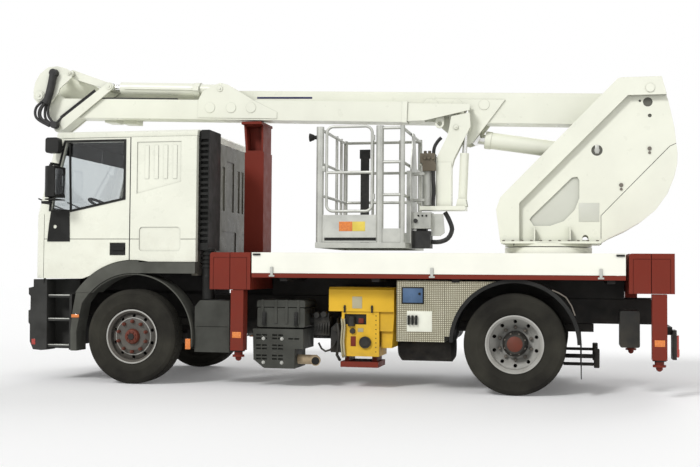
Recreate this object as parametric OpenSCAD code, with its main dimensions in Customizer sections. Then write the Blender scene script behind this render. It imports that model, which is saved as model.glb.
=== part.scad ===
// Cherry picker truck: two-axle cab-over chassis with a slewing, folding, telescopic boom and a basket.
// Millimetres. X runs forward, Y to the left side of the truck, Z up from the ground.
// Pieces are drawn with X measured from the rear axle; on_frame() then moves them to the shared frame.

/* [Chassis] */
// Distance between the two axles
wheelbase = 4184; // [4000:1:4400]
// Tyre outside diameter
tyre_d = 1044; // [1000:1:1080]
// Width of one tyre
tyre_w = 280; // [250:1:315]
// Outer face of the outer tyres, from the middle plane
wheel_face_y = 1200; // [1150:1:1250]
// Width over deck and outrigger boxes
deck_w = 2500; // [2400:1:2550]
// Top of the deck
deck_z = 1455; // [1400:1:1500]

/* [Cab] */
// Width over the cab sides
cab_w = 2300; // [2200:1:2400]
// Rear wall of the cab, from the rear axle
cab_rear_x = 3460; // [3400:1:3520]
// Front face of the cab, from the rear axle
cab_front_x = 5450; // [5350:1:5500]
// Top of the roof
roof_z = 2835; // [2780:1:2900]
// Lower edge of the doors
cab_low_z = 1157; // [1120:1:1200]

/* [Boom] */
// Slew axis, from the rear axle
slew_x = -308; // [-360:1:-250]
// Main boom pivot, from the rear axle
pivot_x = -1375; // [-1420:1:-1330]
// Main boom pivot, above the ground
pivot_z = 3112; // [3080:1:3150]
// Nose-up angle of the folded booms
boom_tilt = 2.1; // [1:0.1:3]
// Height of the main boom box
boom1_h = 348; // [320:1:370]
// Height of the second boom box
boom2_h = 233; // [210:1:250]

/* [Basket] */
// Outer size of the basket along the truck
basket_l = 1010; // [950:1:1050]
// Outer size of the basket across the truck
basket_w = 1400; // [1300:1:1450]
// Height of the basket's top rail above its floor frame
basket_h = 1345; // [1250:1:1360]

/* [Outriggers] */
// Side of the square jack tubes
jack_w = 143; // [130:1:150]
// Underside of the stowed feet, above the ground
foot_z = 285; // [250:1:320]

/* [Hidden] */
$fn = 40;
// Middle of the whole machine, from the rear axle
x_mid = 2107.7;
tyre_r = tyre_d / 2;
half_deck = deck_w / 2;
half_cab = cab_w / 2;
wheel_y = wheel_face_y - tyre_w / 2;
// Points of the folding mechanism, along and square to the main boom from its pivot
knuckle_pin = [7190, 5];
toggle_pin = [6302, 135];
low_link_pin = [6940, -372];
top_link_pin = [6816, 291];
fold_cyl_pin = [4895, 121];
hang_pin = [2077, -292];
level_pin = [1973, -55];
lift_eye = [1889, -375];
// Lift cylinder pin in the turret, from the rear axle and above the ground
lift_pin = [-839, 2596];
boom1_y = [-280, 20];
boom2_y = [66, 250];
boom1_w = [138 - boom1_h, 138];
boom2_w = [-12 - boom2_h, -12];
lane2 = 158;

// Which piece to draw

// Colours
white = [0.93, 0.93, 0.88];
red = [0.55, 0.13, 0.10];
dark = [0.16, 0.17, 0.16];
black = [0.05, 0.05, 0.05];
steel = [0.55, 0.56, 0.55];
alloy = [0.78, 0.80, 0.76];

// Box between two limits on each axis
module bx(x, y, z) {
    translate([x[0], y[0], z[0]])
        cube([x[1] - x[0], y[1] - y[0], z[1] - z[0]]);
}

// Round bar along Y
module ycyl(x, z, y, r) {
    translate([x, y[1], z])
        rotate([90, 0, 0])
            cylinder(h = y[1] - y[0], r = r);
}

// Round bar along X
module xcyl(y, z, x, r) {
    translate([x[0], y, z])
        rotate([0, 90, 0])
            cylinder(h = x[1] - x[0], r = r);
}

// Upright round bar
module zcyl(x, y, z, r) {
    translate([x, y, z[0]])
        cylinder(h = z[1] - z[0], r = r);
}

// Plate cut to a side view outline of X and Z points
module yplate(pts, y) {
    translate([0, y[1], 0])
        rotate([90, 0, 0])
            linear_extrude(y[1] - y[0])
                polygon(pts);
}

// Plate cut to a side view outline drawn by children
module yshape(y) {
    translate([0, y[1], 0])
        rotate([90, 0, 0])
            linear_extrude(y[1] - y[0])
                children();
}

// Flat bar with round ends between two points of a side view
module bar2d(a, b, ra, rb) {
    hull() {
        translate(a) circle(ra);
        translate(b) circle(rb);
    }
}

// Plan outline of the cab: square at the back, rounded at the front
module plan2d(x0, x1, hw, r) {
    translate([x0, -hw]) square([x1 - r - x0, 2 * hw]);
    translate([x1 - r - 1, r - hw]) square([r + 1, 2 * (hw - r)]);
    for (s = [-1, 1])
        translate([x1 - r, s * (hw - r)]) circle(r);
}

// Flat outline with round corners
module round2d(x, z, r) {
    translate([x[0] + r, z[0]]) square([x[1] - x[0] - 2 * r, z[1] - z[0]]);
    translate([x[0], z[0] + r]) square([x[1] - x[0], z[1] - z[0] - 2 * r]);
    for (a = [x[0] + r, x[1] - r], b = [z[0] + r, z[1] - r])
        translate([a, b]) circle(r);
}

// Round bar between two points of a side view
module rod2(a, b, y, r) {
    d = b - a;
    translate([a[0], y, a[1]])
        rotate([0, 90 - atan2(d[1], d[0]), 0])
            cylinder(h = norm(d), r = r);
}

function unit(v) = v / norm(v);

// Smooth curve through a list of points, in n steps from each to the next
function curve_pt(a, b, c, d, t) = (2 * b + (c - a) * t + (2 * a - 5 * b + 4 * c - d) * t * t
    + (3 * b - a - 3 * c + d) * t * t * t) / 2;
function curve(p, n) = concat(
    [for (i = [0 : len(p) - 2], k = [0 : n - 1])
        curve_pt(p[max(i - 1, 0)], p[i], p[i + 1], p[min(i + 2, len(p) - 1)], k / n)],
    [p[len(p) - 1]]);

// Hose in an upright plane at y, along a smooth curve through points of a side view
module hose(points, y, r, steps = 3, sides = 8) {
    path = [for (p = curve(points, steps)) [p[0], y, p[1]]];
    last = len(path) - 1;
    ring = [for (i = [0 : last])
        let (t = unit(path[min(i + 1, last)] - path[max(i - 1, 0)]), a = cross([0, 1, 0], t))
            for (k = [0 : sides - 1])
                path[i] + r * (cos(360 * k / sides) * a + sin(360 * k / sides) * [0, 1, 0])];
    skin = [for (i = [0 : last - 1], k = [0 : sides - 1])
        let (m = (k + 1) % sides, lo = i * sides, hi = lo + sides)
            each [[lo + k, hi + k, hi + m], [lo + k, hi + m, lo + m]]];
    ends = [[for (k = [0 : sides - 1]) k], [for (k = [sides - 1 : -1 : 0]) last * sides + k]];
    polyhedron(ring, concat(ends, skin));
}

module both() {
    children();
    mirror([0, 1, 0])
        children();
}

module on_frame() {
    translate([-x_mid, 0, 0])
        children();
}

// Along the folded booms, with the main pivot at the origin
module on_boom() {
    translate([pivot_x, 0, pivot_z])
        rotate([0, -boom_tilt, 0])
            children();
}

// A point of the boom's own axes, seen in the truck's side view
function boom_pt(p) = [
    pivot_x + p[0] * cos(boom_tilt) - p[1] * sin(boom_tilt),
    pivot_z + p[0] * sin(boom_tilt) + p[1] * cos(boom_tilt)];

rail_x = [-1450, 5150];
rail_z = [715, 980];
cross_x = [-1350, -560, 700, 1750, 2700];
module chassis_frame() {
    color(dark) both()
        difference() {
            bx(rail_x, [340, 420], rail_z);
            bx([rail_x[0] - 1, rail_x[1] + 1], [339, 412], [rail_z[0] + 10, rail_z[1] - 10]);
        }
    color(dark)
        for (x = cross_x)
            bx([x, x + 90], [-412, 412], [rail_z[0] + 20, rail_z[1] - 40]);
    color(dark)
        bx([5150, 5250], [-420, 420], rail_z);
}

module axles() {
    color(dark) {
        bx([wheelbase - 55, wheelbase + 55], [-600, 600], [370, 480]);
        both()
            difference() {
                union() {
                    bx([wheelbase - 55, wheelbase + 55], [560, king_y], [470, 566]);
                    zcyl(wheelbase, king_y, [470, 566], 62);
                }
                zcyl(wheelbase, king_y, [469, 567], 32);
            }
        both() bx([wheelbase - 780, wheelbase + 780], [350, 430], [620, 700]);
        both() bx([wheelbase - 70, wheelbase + 70], [345, 435], [480, 620]);
        ycyl(0, tyre_r, [-590, 590], 95);
        both() ycyl(0, tyre_r, [590, 945], 58);
        xcyl(0, tyre_r, [-240, 200], 215);
        both() bx([-800, 800], [345, 425], [625, 710]);
        both() bx([-80, 80], [340, 430], [560, 625]);
    }
}

module power_unit() {
    color(steel) {
        bx([3560, 5050], [-325, 325], [560, 1120]);
        xcyl(0, 700, [2860, 3560], 190);
        xcyl(0, 640, [240, 2860], 55);
    }
}

step_z = [408, 703, 968];
module bumper_steps() {
    top = cab_low_z - 12;
    color(dark) {
        difference() {
            yplate([[5300, 344], [5400, 352], [5441, 440], [5444, 632], [5462, 655], [5464, 791],
                [5440, 800],
                [5440, 955], [5463, 974], [5465, 1046], [5405, 1060], [5405, top], [5300, top]],
                    [-1130, 1130]);
            for (s = [-1, 1]) {
                bx([5380, 5500], [s * 845 - 205, s * 845 + 205], [812, 945]);
                bx([5400, 5500], [s * 800 - 90, s * 800 + 90], [500, 590]);
            }
            bx([5400, 5500], [-560, 560], [812, 945]);
            for (z = [1075, 1105])
                bx([5395, 5500], [-800, 800], [z, z + 15]);
        }
        both() {
            for (z = step_z)
                bx([4935, 5235], [925, 1110], [z - 28, z]);
            bx([4935, 5300], [895, 925], [355, top]);
            yplate([[5232, 350], [5300, 344], [5300, top], [5240, top]], [925, 1130]);
            bx([4935, 4965], [925, 1120], [355, 980]);
        }
    }
}

arch_r = [700, 840];
module wheel_arches() {
    color([0.30, 0.31, 0.29]) both() {
        difference() {
            ycyl(wheelbase, tyre_r, [1084, 1165], arch_r[1]);
            ycyl(wheelbase, tyre_r, [1083, 1166], arch_r[0]);
            bx([wheelbase - 900, wheelbase + 900], [900, 1200], [-400, 1000]);
            bx([wheelbase - 900, wheelbase - 62], [900, 1200], [-400, 1500]);
        }
        yplate([[4706, 999], [4868, 999], [4905, 801], [4928, 567], [4924, 350], [4850, 350], [4856, 569],
            [4795, 883]], [930, 1160]);
        bx([cab_rear_x, wheelbase - 60], [1084, 1165], [1222, 1345]);
        difference() {
            ycyl(wheelbase, tyre_r, [880, 1150], arch_r[0] - 4);
            ycyl(wheelbase, tyre_r, [879, 1151], arch_r[0] - 18);
            bx([wheelbase - 900, wheelbase + 900], [800, 1200], [-400, 420]);
            bx([wheelbase, wheelbase + 900], [800, 1200], [-400, 1000]);
        }
    }
}

module cab_floor() {
    color(white) {
        translate([0, 0, 1350])
            linear_extrude(35) plan2d(cab_rear_x + 80, 5378, 1074, 170);
        both() bx([4990, 5200], [500, 1074], [1162, 1351]);
    }
}

module cab_front() {
    color(white) {
        difference() {
            translate([0, 0, cab_low_z])
                linear_extrude(1880 - cab_low_z)
                    difference() {
                        plan2d(5000, cab_front_x, half_cab, 240);
                        plan2d(4990, cab_front_x - 60, half_cab - 60, 180);
                        translate([4900, -2000]) square([383, 4000]);
                    }
            for (z = [1240, 1300, 1360, 1420])
                bx([5300, 5500], [-780, 780], [z, z + 28]);
        }
        bx([cab_front_x - 66, cab_front_x - 52], [-820, 820], [1220, 1470]);
        difference() {
            on_screen()
                translate([0, 0, -200])
                    linear_extrude(1300)
                        difference() {
                            plan2d(-400, 0, half_cab, 240);
                            plan2d(-410, -46, half_cab - 46, 194);
                            translate([-500, -2000]) square([332, 4000]);
                            translate([-300, -985]) square([400, 1970]);
                        }
            bx([4000, 6000], [-1300, 1300], [1000, 1880]);
            bx([4000, 6000], [-1300, 1300], [2738, 3300]);
        }
    }
}

// Axes that lean back with the windscreen
module on_screen() {
    translate([cab_front_x, 0, 1880])
        rotate([0, -14, 0])
            children();
}

module cab_sides() {
    y = [half_cab - 9, half_cab + 1];
    color(white) both()
        difference() {
            bx([cab_rear_x, 4232], [half_cab - 70, half_cab], [1350, 2738]);
            ycyl(wheelbase, tyre_r, [half_cab - 80, half_cab + 10], arch_r[1] + 6);
            yplate([[3640, 2235], [4160, 2105], [4160, 2682], [3640, 2682]], y);
            yshape(y) round2d([3640, 4125], [1467, 1734], 40);
            bx([3450, 4240], [half_cab - 4, half_cab + 1], [1596, 1604]);
        }
    color(white) both()
        for (x = [3690, 3800, 3910, 4020])
            bx([x, x + 45], [half_cab - 12, half_cab - 3], [2270, 2640]);
}

module cab_rear() {
    x = [cab_rear_x - 1, cab_rear_x + 10];
    color([0.75, 0.75, 0.70])
        difference() {
            bx([cab_rear_x, cab_rear_x + 70], [-half_cab + 72, half_cab - 72], [1200, 2738]);
            for (y = [-960, 200])
                for (k = [0:4])
                    bx(x, [y + k * 150, y + k * 150 + 110], [1960, 2480]);
            for (y = [-960, -240, 480])
                bx(x, [y, y + 480], [1420, 1720]);
            bx(x, [-140, 140], [1960, 2560]);
        }
    cab_floor();
}

module cab_roof() {
    color(white)
        intersection() {
            translate([0, 0, 2742])
                linear_extrude(200)
                    plan2d(cab_rear_x, 5237, half_cab - 18, 230);
            translate([cab_rear_x, 0, 0])
                rotate([90, 0, 90])
                    linear_extrude(1900)
                        polygon([[-1132, 2742], [1132, 2742], [1132, 2792], [1090, 2815],
                            [800, 2838], [0, roof_z + 15],
                            [-800, 2838], [-1090, 2815], [-1132, 2792]]);
            yplate([[cab_rear_x, 2742], [5237, 2742], [5222, 2786], [5150, 2820], [4950, roof_z + 15],
                [3600, roof_z + 15], [3490, 2836], [cab_rear_x, 2812]], [-1200, 1200]);
        }
}

module windscreen() {
    color([0.2, 0.25, 0.28, 0.4])
        difference() {
            on_screen()
                translate([0, 0, -200])
                    linear_extrude(1300)
                        difference() {
                            plan2d(-400, -10, half_cab - 10, 230);
                            plan2d(-410, -18, half_cab - 18, 222);
                            translate([-500, -2000]) square([340, 4000]);
                            translate([-500, 981]) square([900, 400]);
                            translate([-500, -1381]) square([900, 400]);
                        }
            bx([4000, 6000], [-1300, 1300], [1000, 1883]);
            bx([4000, 6000], [-1300, 1300], [2735, 3300]);
        }
}

module interior() {
    color(dark) {
        yplate([[5020, 1700], [5330, 1700], [5330, 1880], [5230, 1960], [5060, 1940]], [-1020, 1020]);
        for (y = [-560, 560]) {
            bx([3980, 4480], [y - 250, y + 250], [1450, 1740]);
            yplate([[3870, 1600], [3975, 1600], [3945, 2330], [3840, 2330]], [y - 240, y + 240]);
            bx([3830, 3930], [y - 130, y + 130], [2340, 2520]);
        }
        translate([4800, 560, 1990])
            rotate([0, -28, 0]) {
                rotate_extrude()
                    translate([215, 0]) circle(17);
                cylinder(h = 40, r = 55, center = true);
                for (a = [90, 210, 330])
                    rotate([0, 0, a])
                        translate([0, -14, -8]) cube([215, 28, 16]);
                translate([0, 0, -420]) cylinder(h = 420, r = 32);
            }
    }
}

module air_intake() {
    color(black) {
        difference() {
            yplate([[3340, 1480], [3452, 1480], [3452, 2790], [3430, 2812], [3340, 2812]], [700, 1080]);
            for (z = [1560:62:2700])
                bx([3350, 3440], [1040, 1081], [z, z + 34]);
        }
        for (z = [1290:45:1480])
            zcyl(3368, 990, [z, z + 28], 80);
        zcyl(3368, 990, [1180, 1490], 66);
        translate([3368, 990, 1180]) sphere(72);
        rod2([3368, 1180], [3360, 940], 990, 70);
    }
}

module side_boxes() {
    color(dark) {
        difference() {
            yplate([[3080, 364], [3480, 364], [3480, 860], [3420, 930], [3080, 930]], [760, 1100]);
            bx([3100, 3460], [1092, 1101], [640, 646]);
        }
        yshape([640, 1092]) round2d([2232, 2764], [650, 860], 20);
        yshape([636, 1098])
            difference() {
                round2d([2228, 2768], [780, 941], 24);
                translate([2200, 770]) square([600, 98]);
            }
        for (x = [2290, 2420, 2540, 2690])
            bx([x, x + 30], [636, 1102], [690, 946]);
        difference() {
            yplate([[2246, 420], [2340, 420], [2340, 209], [2680, 209], [2800, 300], [2810, 632],
                [2246, 632]],
                [640, 1105]);
            for (cx = [2290, 2470, 2650], k = [0:2])
                for (d = [0, 66])
                    if (cx > 2300 || k == 2)
                        bx([cx + d, cx + d + 54], [1080, 1106], [300 + k * 110, 318 + k * 110]);
            for (cx = [2470, 2650], k = [0:2], d = [0, 66])
                bx([cx + d, cx + d + 54], [1080, 1106], [336 + k * 110, 354 + k * 110]);
            xcyl(950, 300, [2100, 2345], 58);
        }
        difference() {
            xcyl(950, 300, [2130, 2338], 52);
            xcyl(950, 300, [2120, 2320], 44);
        }
        yshape([700, 1000]) round2d([-1248, -1052], [504, 875], 20);
        yshape([-1140, -600]) round2d([760, 2660], [430, 1060], 120);
        yplate([[1850, 380], [1990, 380], [1990, 640], [1940, 690], [1850, 690]], [540, 900]);
        bx([2010, 2180], [720, 900], [560, 800]);
        xcyl(810, 720, [1996, 2240], 60);
    }
    air_intake();
}

module aux_engine() {
    color([0.85, 0.62, 0.10]) {
        translate([1278, 0, 0])
            rotate([90, 0, 90])
                linear_extrude(712)
                    polygon([[520, 829], [1000, 829], [1000, 1062], [970, 1088], [520, 1088]]);
        yplate([[1293, 620], [1478, 620], [1478, 834], [1278, 834]], [520, 965]);
        yplate([[1310, 440], [1426, 440], [1426, 625], [1296, 625]], [540, 930]);
        difference() {
            bx([1440, 1850], [520, 985], [349, 829]);
            bx([1580, 1820], [960, 990], [690, 800]);
        }
    }
    color(black) ycyl(1590, 500, [984, 1014], 63);
    color(red) bx([1450, 1862], [560, 980], [231, 290]);
    color(red)
        for (x = [1480, 1780])
            bx([x, x + 50], [600, 900], [288, 352]);
}

module tool_locker() {
    color([0.70, 0.70, 0.64])
        bx([715, 1213], [560, 1205], [533, 1165]);
}

guard_r = [648, 660];
module rear_mudguards() {
    color(black) both() {
        difference() {
            ycyl(0, tyre_r, [585, 1205], guard_r[1]);
            ycyl(0, tyre_r, [584, 1206], guard_r[0]);
            bx([-800, 800], [500, 1300], [-400, tyre_r + 10]);
        }
        difference() {
            ycyl(0, tyre_r, [1180, 1209], guard_r[1] + 8);
            ycyl(0, tyre_r, [1179, 1210], guard_r[0] - 20);
            bx([-800, 800], [1100, 1300], [-400, tyre_r + 10]);
        }
        yplate([[-672, 540], [-660, 540], [-660, 640], [-652, 660], [-664, 660]], [600, 1190]);
        bx([-672, -662], [600, 1190], [190, 540]);
    }
}

module deck() {
    color(white) {
        difference() {
            bx([-1100, 2785], [-half_deck, half_deck], [deck_z - 25, deck_z]);
            zcyl(slew_x, 0, [deck_z - 30, deck_z + 5], 500);
        }
        difference() {
            zcyl(slew_x, 0, [deck_z, 1535], 482);
            zcyl(slew_x, 0, [deck_z - 1, 1536], 400);
        }
        both() {
            bx([-1100, 2785], [half_deck - 25, half_deck], [1234, deck_z - 25]);
            for (x = [-890, 810, 2530]) {
                bx([x + 16, x + 44], [half_deck, half_deck + 14], [1208, 1300]);
                bx([x, x + 60], [half_deck, half_deck + 10], [1196, 1214]);
            }
            for (x = [-1090, 2690])
                bx([x, x + 80], [half_deck, half_deck + 14], [1424, 1442]);
        }
    }
}

// Outrigger boxes: start of the box, and which half holds the left beam
box_f = [2800, 3257];
box_r = [-1568, -1131];
box_z = [1055, deck_z];
beam_f_left = [2815, 3020];
beam_f_right = [3040, 3243];
beam_r_left = [-1553, -1353];
beam_r_right = [-1340, -1146];
beam_z = [1090, 1415];
beam_end_y = 1085;
module outrigger_box(x, tube_a, tube_b) {
    difference() {
        bx(x, [-beam_end_y + 5, beam_end_y - 5], box_z);
        bx([tube_a[0] - 6, tube_a[1] + 6], [-half_deck, half_deck], [beam_z[0] - 6, beam_z[1] + 6]);
        bx([tube_b[0] - 6, tube_b[1] + 6], [-half_deck, half_deck], [beam_z[0] - 6, beam_z[1] + 6]);
    }
}

// Seam round the two panels on the end of an outrigger box
module end_seams(x) {
    y = [half_deck - 4, half_deck + 1];
    bx([x[0] + 38, x[1] - 38], y, [1396, 1402]);
    for (s = [x[0] + 38, x[1] - 44])
        bx([s, s + 6], y, [box_z[0] - 1, 1402]);
}

module subframe() {
    color(red) {
        both() bx([-1120, 2790], [345, 425], [985, 1228]);
        both() bx([-1100, 2785], [half_deck - 35, half_deck], [1186, 1231]);
        for (x = [-1000, 560, 1400, 2400])
            bx([x, x + 80], [-half_deck + 36, half_deck - 36], [1150, 1228]);
        difference() {
            zcyl(slew_x, 0, [1180, deck_z], 450);
            zcyl(slew_x, 0, [1179, deck_z + 1], 380);
        }
        outrigger_box(box_f, beam_f_left, beam_f_right);
        outrigger_box(box_r, beam_r_left, beam_r_right);
        end_f = [3033, box_f[1]];
        difference() {
            yshape([beam_end_y - 10, half_deck]) box_end(end_f, 1);
            end_seams(box_f);
        }
        difference() {
            yshape([beam_end_y - 10, half_deck]) box_end([-1342, box_r[1]], 1);
            end_seams(box_r);
        }
        mirror([0, 1, 0])
            difference() {
                yshape([beam_end_y - 10, half_deck]) box_end([box_f[0], 3027], -1);
                end_seams(box_f);
            }
        mirror([0, 1, 0])
            difference() {
                yshape([beam_end_y - 10, half_deck]) box_end([box_r[0], -1350], -1);
                end_seams(box_r);
            }
        both() bx([-1600, -1560], [860, 1060], [395, 690]);
        bx([-1562, -1500], [-1000, 1000], [640, 720]);
        both() bx([-1501, -1453], [345, 415], [700, 760]);
    }
    boom_rest();
}

// End face of an outrigger box, rounded at its outer top corner
module box_end(x, s) {
    e = s > 0 ? x[1] : x[0];
    difference() {
        translate([x[0], box_z[0]]) square([x[1] - x[0], box_z[1] - box_z[0]]);
        translate([e - 30, box_z[1] - 30]) square(60);
    }
    translate([e - s * 30, box_z[1] - 30]) circle(30);
}

rest_x = [2990, 3225];
rest_top = 3012;
module boom_rest() {
    color(red) {
        bx(rest_x, [-170, 170], [deck_z, 2660]);
        difference() {
            yplate([[3000, 2660], [3215, 2660], [3240, rest_top - 30], [3000, rest_top - 30]], [-165, 165]);
            both() yplate([[3022, 2680], [3190, 2680], [3212, rest_top - 42],
                [3022, rest_top - 42]], [25, 170]);
        }
        bx([2995, 3240], [-200, 262], [rest_top - 30, rest_top]);
    }
}

module lamps() {
    color([0.7, 0.25, 0.08]) {
        for (s = [-1, 1]) {
            bx([5384, 5436], [s * 845 - 200, s * 845 + 200], [816, 941]);
            bx([5404, 5438], [s * 800 - 86, s * 800 + 86], [504, 586]);
            bx([-1622, -1600], [s * 960 - 90, s * 960 + 90], [420, 640]);
        }
    }
}

door_x = [4244, 5272];
module door_outline() {
    difference() {
        polygon([[door_x[0], 1350], [door_x[0], 2735], [5058, 2735], [5272, 1880], [5272, cab_low_z],
            [4800, cab_low_z]]);
        translate([wheelbase, tyre_r]) circle(arch_r[1] + 8);
    }
}
window_pts = [[4318, 2062], [4318, 2690], [5020, 2690], [5180, 2050], [5195, 1900], [4975, 1925]];
module door_left() {
    color(white)
        difference() {
            yshape([half_cab - 70, half_cab]) door_outline();
            yplate(window_pts, [half_cab - 71, half_cab + 1]);
            bx([4200, 5300], [half_cab - 4, half_cab + 1], [1596, 1604]);
            bx([4285, 4474], [half_cab - 30, half_cab + 1], [1418, 1560]);
        }
    color(white) yplate([[4952, 1915], [4972, 1915], [4995, 2695], [4975, 2695]],
        [half_cab - 30, half_cab - 12]);
}

module door_glass_left() {
    color([0.2, 0.25, 0.28, 0.4])
        yshape([half_cab - 40, half_cab - 32])
            offset(delta = -3) polygon(window_pts);
}

module door_trim_left() {
    color(black) {
        yshape([half_cab + 1, half_cab + 7])
            difference() {
                polygon([[4958, 1572], [5233, 1572], [5214, 1760], [5190, 1925], [4966, 1930]]);
                translate([5140, 1740]) circle(22);
            }
        yshape([half_cab + 1, half_cab + 6])
            difference() {
                offset(delta = 26) polygon(window_pts);
                polygon(window_pts);
                translate([4960, 1700]) square([290, 215]);
            }
        bx([4292, 4467], [half_cab - 26, half_cab - 4], [1426, 1552]);
        bx([4300, 4440], [half_cab - 8, half_cab + 12], [1475, 1505]);
        translate([0, 0, 2060]) linear_extrude(340) mirror_plan();
        translate([0, 0, 2030]) linear_extrude(10) mirror_plan();
        bx([5192, 5222], [half_cab + 1, 1326], [1990, 2020]);
        bx([5105, 5222], [1296, 1326], [1990, 2020]);
        bx([5105, 5135], [1296, 1326], [2015, 2065]);
        bx([5094, 5124], [half_cab + 1, 1326], [2425, 2450]);
        bx([5105, 5135], [1296, 1326], [2395, 2430]);
        yshape([1200, 1290]) round2d([5046, 5204], [2562, 2735], 30);
        bx([5048, 5076], [half_cab + 1, 1210], [2620, 2650]);
    }
}

// Plan outline of a mirror's housing, convex towards the front
module mirror_plan() {
    intersection() {
        translate([5020, 1330]) circle(140);
        translate([4998, 1200]) square([170, 260]);
    }
}

module door_right() mirror([0, 1, 0]) door_left();
module door_glass_right() mirror([0, 1, 0]) door_glass_left();
module door_trim_right() mirror([0, 1, 0]) door_trim_left();

king_y = 870;
module knuckle_left() {
    color(dark) {
        zcyl(wheelbase, king_y, [412, 624], 30);
        for (z = [[412, 466], [570, 624]]) {
            zcyl(wheelbase, king_y, z, 62);
            bx([wheelbase - 62, wheelbase + 62], [king_y, 975], z);
        }
        bx([wheelbase - 62, wheelbase + 62], [940, 975], [412, 624]);
        ycyl(wheelbase, tyre_r, [975, 1120], 45);
    }
}
module knuckle_right() mirror([0, 1, 0]) knuckle_left();

// Round section about a wheel's axle, drawn as radius and distance out from the wheel's middle
module turned(x, y, side) {
    translate([x, side * y, tyre_r])
        rotate([side * -90, 0, 0])
            rotate_extrude($fn = 64)
                children();
}

rim_ring = [[284, -115], [298, -115], [298, -100], [272, -84], [272, 84], [298, 100], [298, 115],
    [284, 115], [260, 88], [260, -88]];
tyre_ring = [[300, -105], [330, -128], [420, -140], [490, -134], [515, -118], [522, -70], [522, 70],
    [515, 118], [490, 134], [420, 140], [330, 128], [300, 105]];

// Ten hand holes through a wheel's disc, between two distances out from the wheel's middle
module hand_holes(x, out, side) {
    for (a = [0 : 36 : 324])
        translate([x, side * wheel_y, tyre_r])
            rotate([0, a, 0])
                translate([0, 0, 228])
                    rotate([side * -90, 0, 0])
                        translate([0, 0, out[0]])
                            cylinder(h = out[1] - out[0], r = 19);
}

module front_rim(side) {
    color(steel) difference() {
        front_disc(side);
        hand_holes(wheelbase, [0, 100], side);
    }
}

module front_disc(side) {
    turned(wheelbase, wheel_y, side) {
        polygon(rim_ring);
        polygon([[46, 88], [150, 92], [190, 70], [261, 40], [261, 24], [185, 54], [146, 74],
            [62, 70], [62, 60],
            [130, -20], [130, -60], [46, -60]]);
        polygon([[0, 78], [60, 78], [84, 92], [72, 128], [0, 132]]);
    }
}

module front_tyre(side) {
    color(black) turned(wheelbase, wheel_y, side) polygon(tyre_ring);
}

twin_gap = 325;
module rear_rim(side) {
    color(steel) difference() {
        rear_disc(side);
        hand_holes(0, [-340, 0], side);
    }
}

module rear_disc(side) {
    turned(0, wheel_y, side) {
        polygon(rim_ring);
        translate([0, -twin_gap]) polygon(rim_ring);
        polygon([[261, -20], [261, -40], [200, -110], [170, -126], [60, -126], [60, -98],
            [160, -98], [190, -84]]);
        translate([0, -twin_gap])
            polygon([[261, 20], [261, 40], [200, 158], [170, 196], [60, 196], [60, 170],
                [160, 170], [190, 130]]);
        polygon([[0, -98], [130, -98], [130, -10], [100, 60], [0, 66]]);
    }
}

module rear_tyre(side) {
    color(black) turned(0, wheel_y, side) {
        polygon(tyre_ring);
        translate([0, -twin_gap]) polygon(tyre_ring);
    }
}

module rim_front_left() front_rim(1);
module rim_front_right() front_rim(-1);
module tyre_front_left() front_tyre(1);
module tyre_front_right() front_tyre(-1);
module rim_rear_left() rear_rim(1);
module rim_rear_right() rear_rim(-1);
module tyre_rear_left() rear_tyre(1);
module tyre_rear_right() rear_tyre(-1);

jack_r = 46;
jack_z = [400, 1050];
// Sliding beam with its end cap and fixed jack tube, for the left side
module outrigger_beam(x, cap_x, jack_x, box_x) {
    color(red) {
        difference() {
            bx(x, [-1000, beam_end_y], beam_z);
            bx([x[0] + 10, x[1] - 10], [-1001, beam_end_y - 10], [beam_z[0] + 10, beam_z[1] - 10]);
        }
        difference() {
            bx(cap_x, [beam_end_y, half_deck], box_z);
            end_seams(box_x);
        }
        difference() {
            bx([jack_x - jack_w / 2, jack_x + jack_w / 2], [half_deck - jack_w - 8, half_deck - 8], jack_z);
            zcyl(jack_x, half_deck - 8 - jack_w / 2, [jack_z[0] - 1, jack_z[1] - 20], jack_r + 4);
        }
    }
}

module outrigger_leg(jack_x) {
    y = half_deck - 8 - jack_w / 2;
    color(steel) {
        zcyl(jack_x, y, [350, 1020], jack_r);
        zcyl(jack_x, y, [330, 352], 64);
        zcyl(jack_x, y, [foot_z + 34, 331], 32);
        translate([jack_x, y, foot_z + 34]) sphere(34);
    }
}

jack_f = [2948, 3108];
jack_r_x = [-1424, -1264];
module beam_front_left() outrigger_beam(beam_f_left, [box_f[0], 3027], jack_f[0], box_f);
module beam_front_right()
    mirror([0, 1, 0])
        outrigger_beam(beam_f_right, [3033, box_f[1]], jack_f[1], box_f);
module beam_rear_left() outrigger_beam(beam_r_left, [box_r[0], -1348], jack_r_x[0], box_r);
module beam_rear_right()
    mirror([0, 1, 0])
        outrigger_beam(beam_r_right, [-1346, box_r[1]], jack_r_x[1], box_r);
module leg_front_left() outrigger_leg(jack_f[0]);
module leg_front_right() mirror([0, 1, 0]) outrigger_leg(jack_f[1]);
module leg_rear_left() outrigger_leg(jack_r_x[0]);
module leg_rear_right() mirror([0, 1, 0]) outrigger_leg(jack_r_x[1]);

// Side plates, drawn from the front foot up over the top and down the round back
turret_pts = [[200, 1590], [248, 1954], [200, 2089], [-1058, 3366], [-1101, 3376], [-1516, 3376],
    [-1570, 3176],
    [-1589, 3118], [-1650, 2831], [-1668, 2669], [-1682, 2551], [-1678, 2434], [-1645, 2289], [-1575, 2114],
    [-1452, 1939], [-1312, 1822], [-1142, 1720], [-970, 1640], [-888, 1590]];
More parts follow.
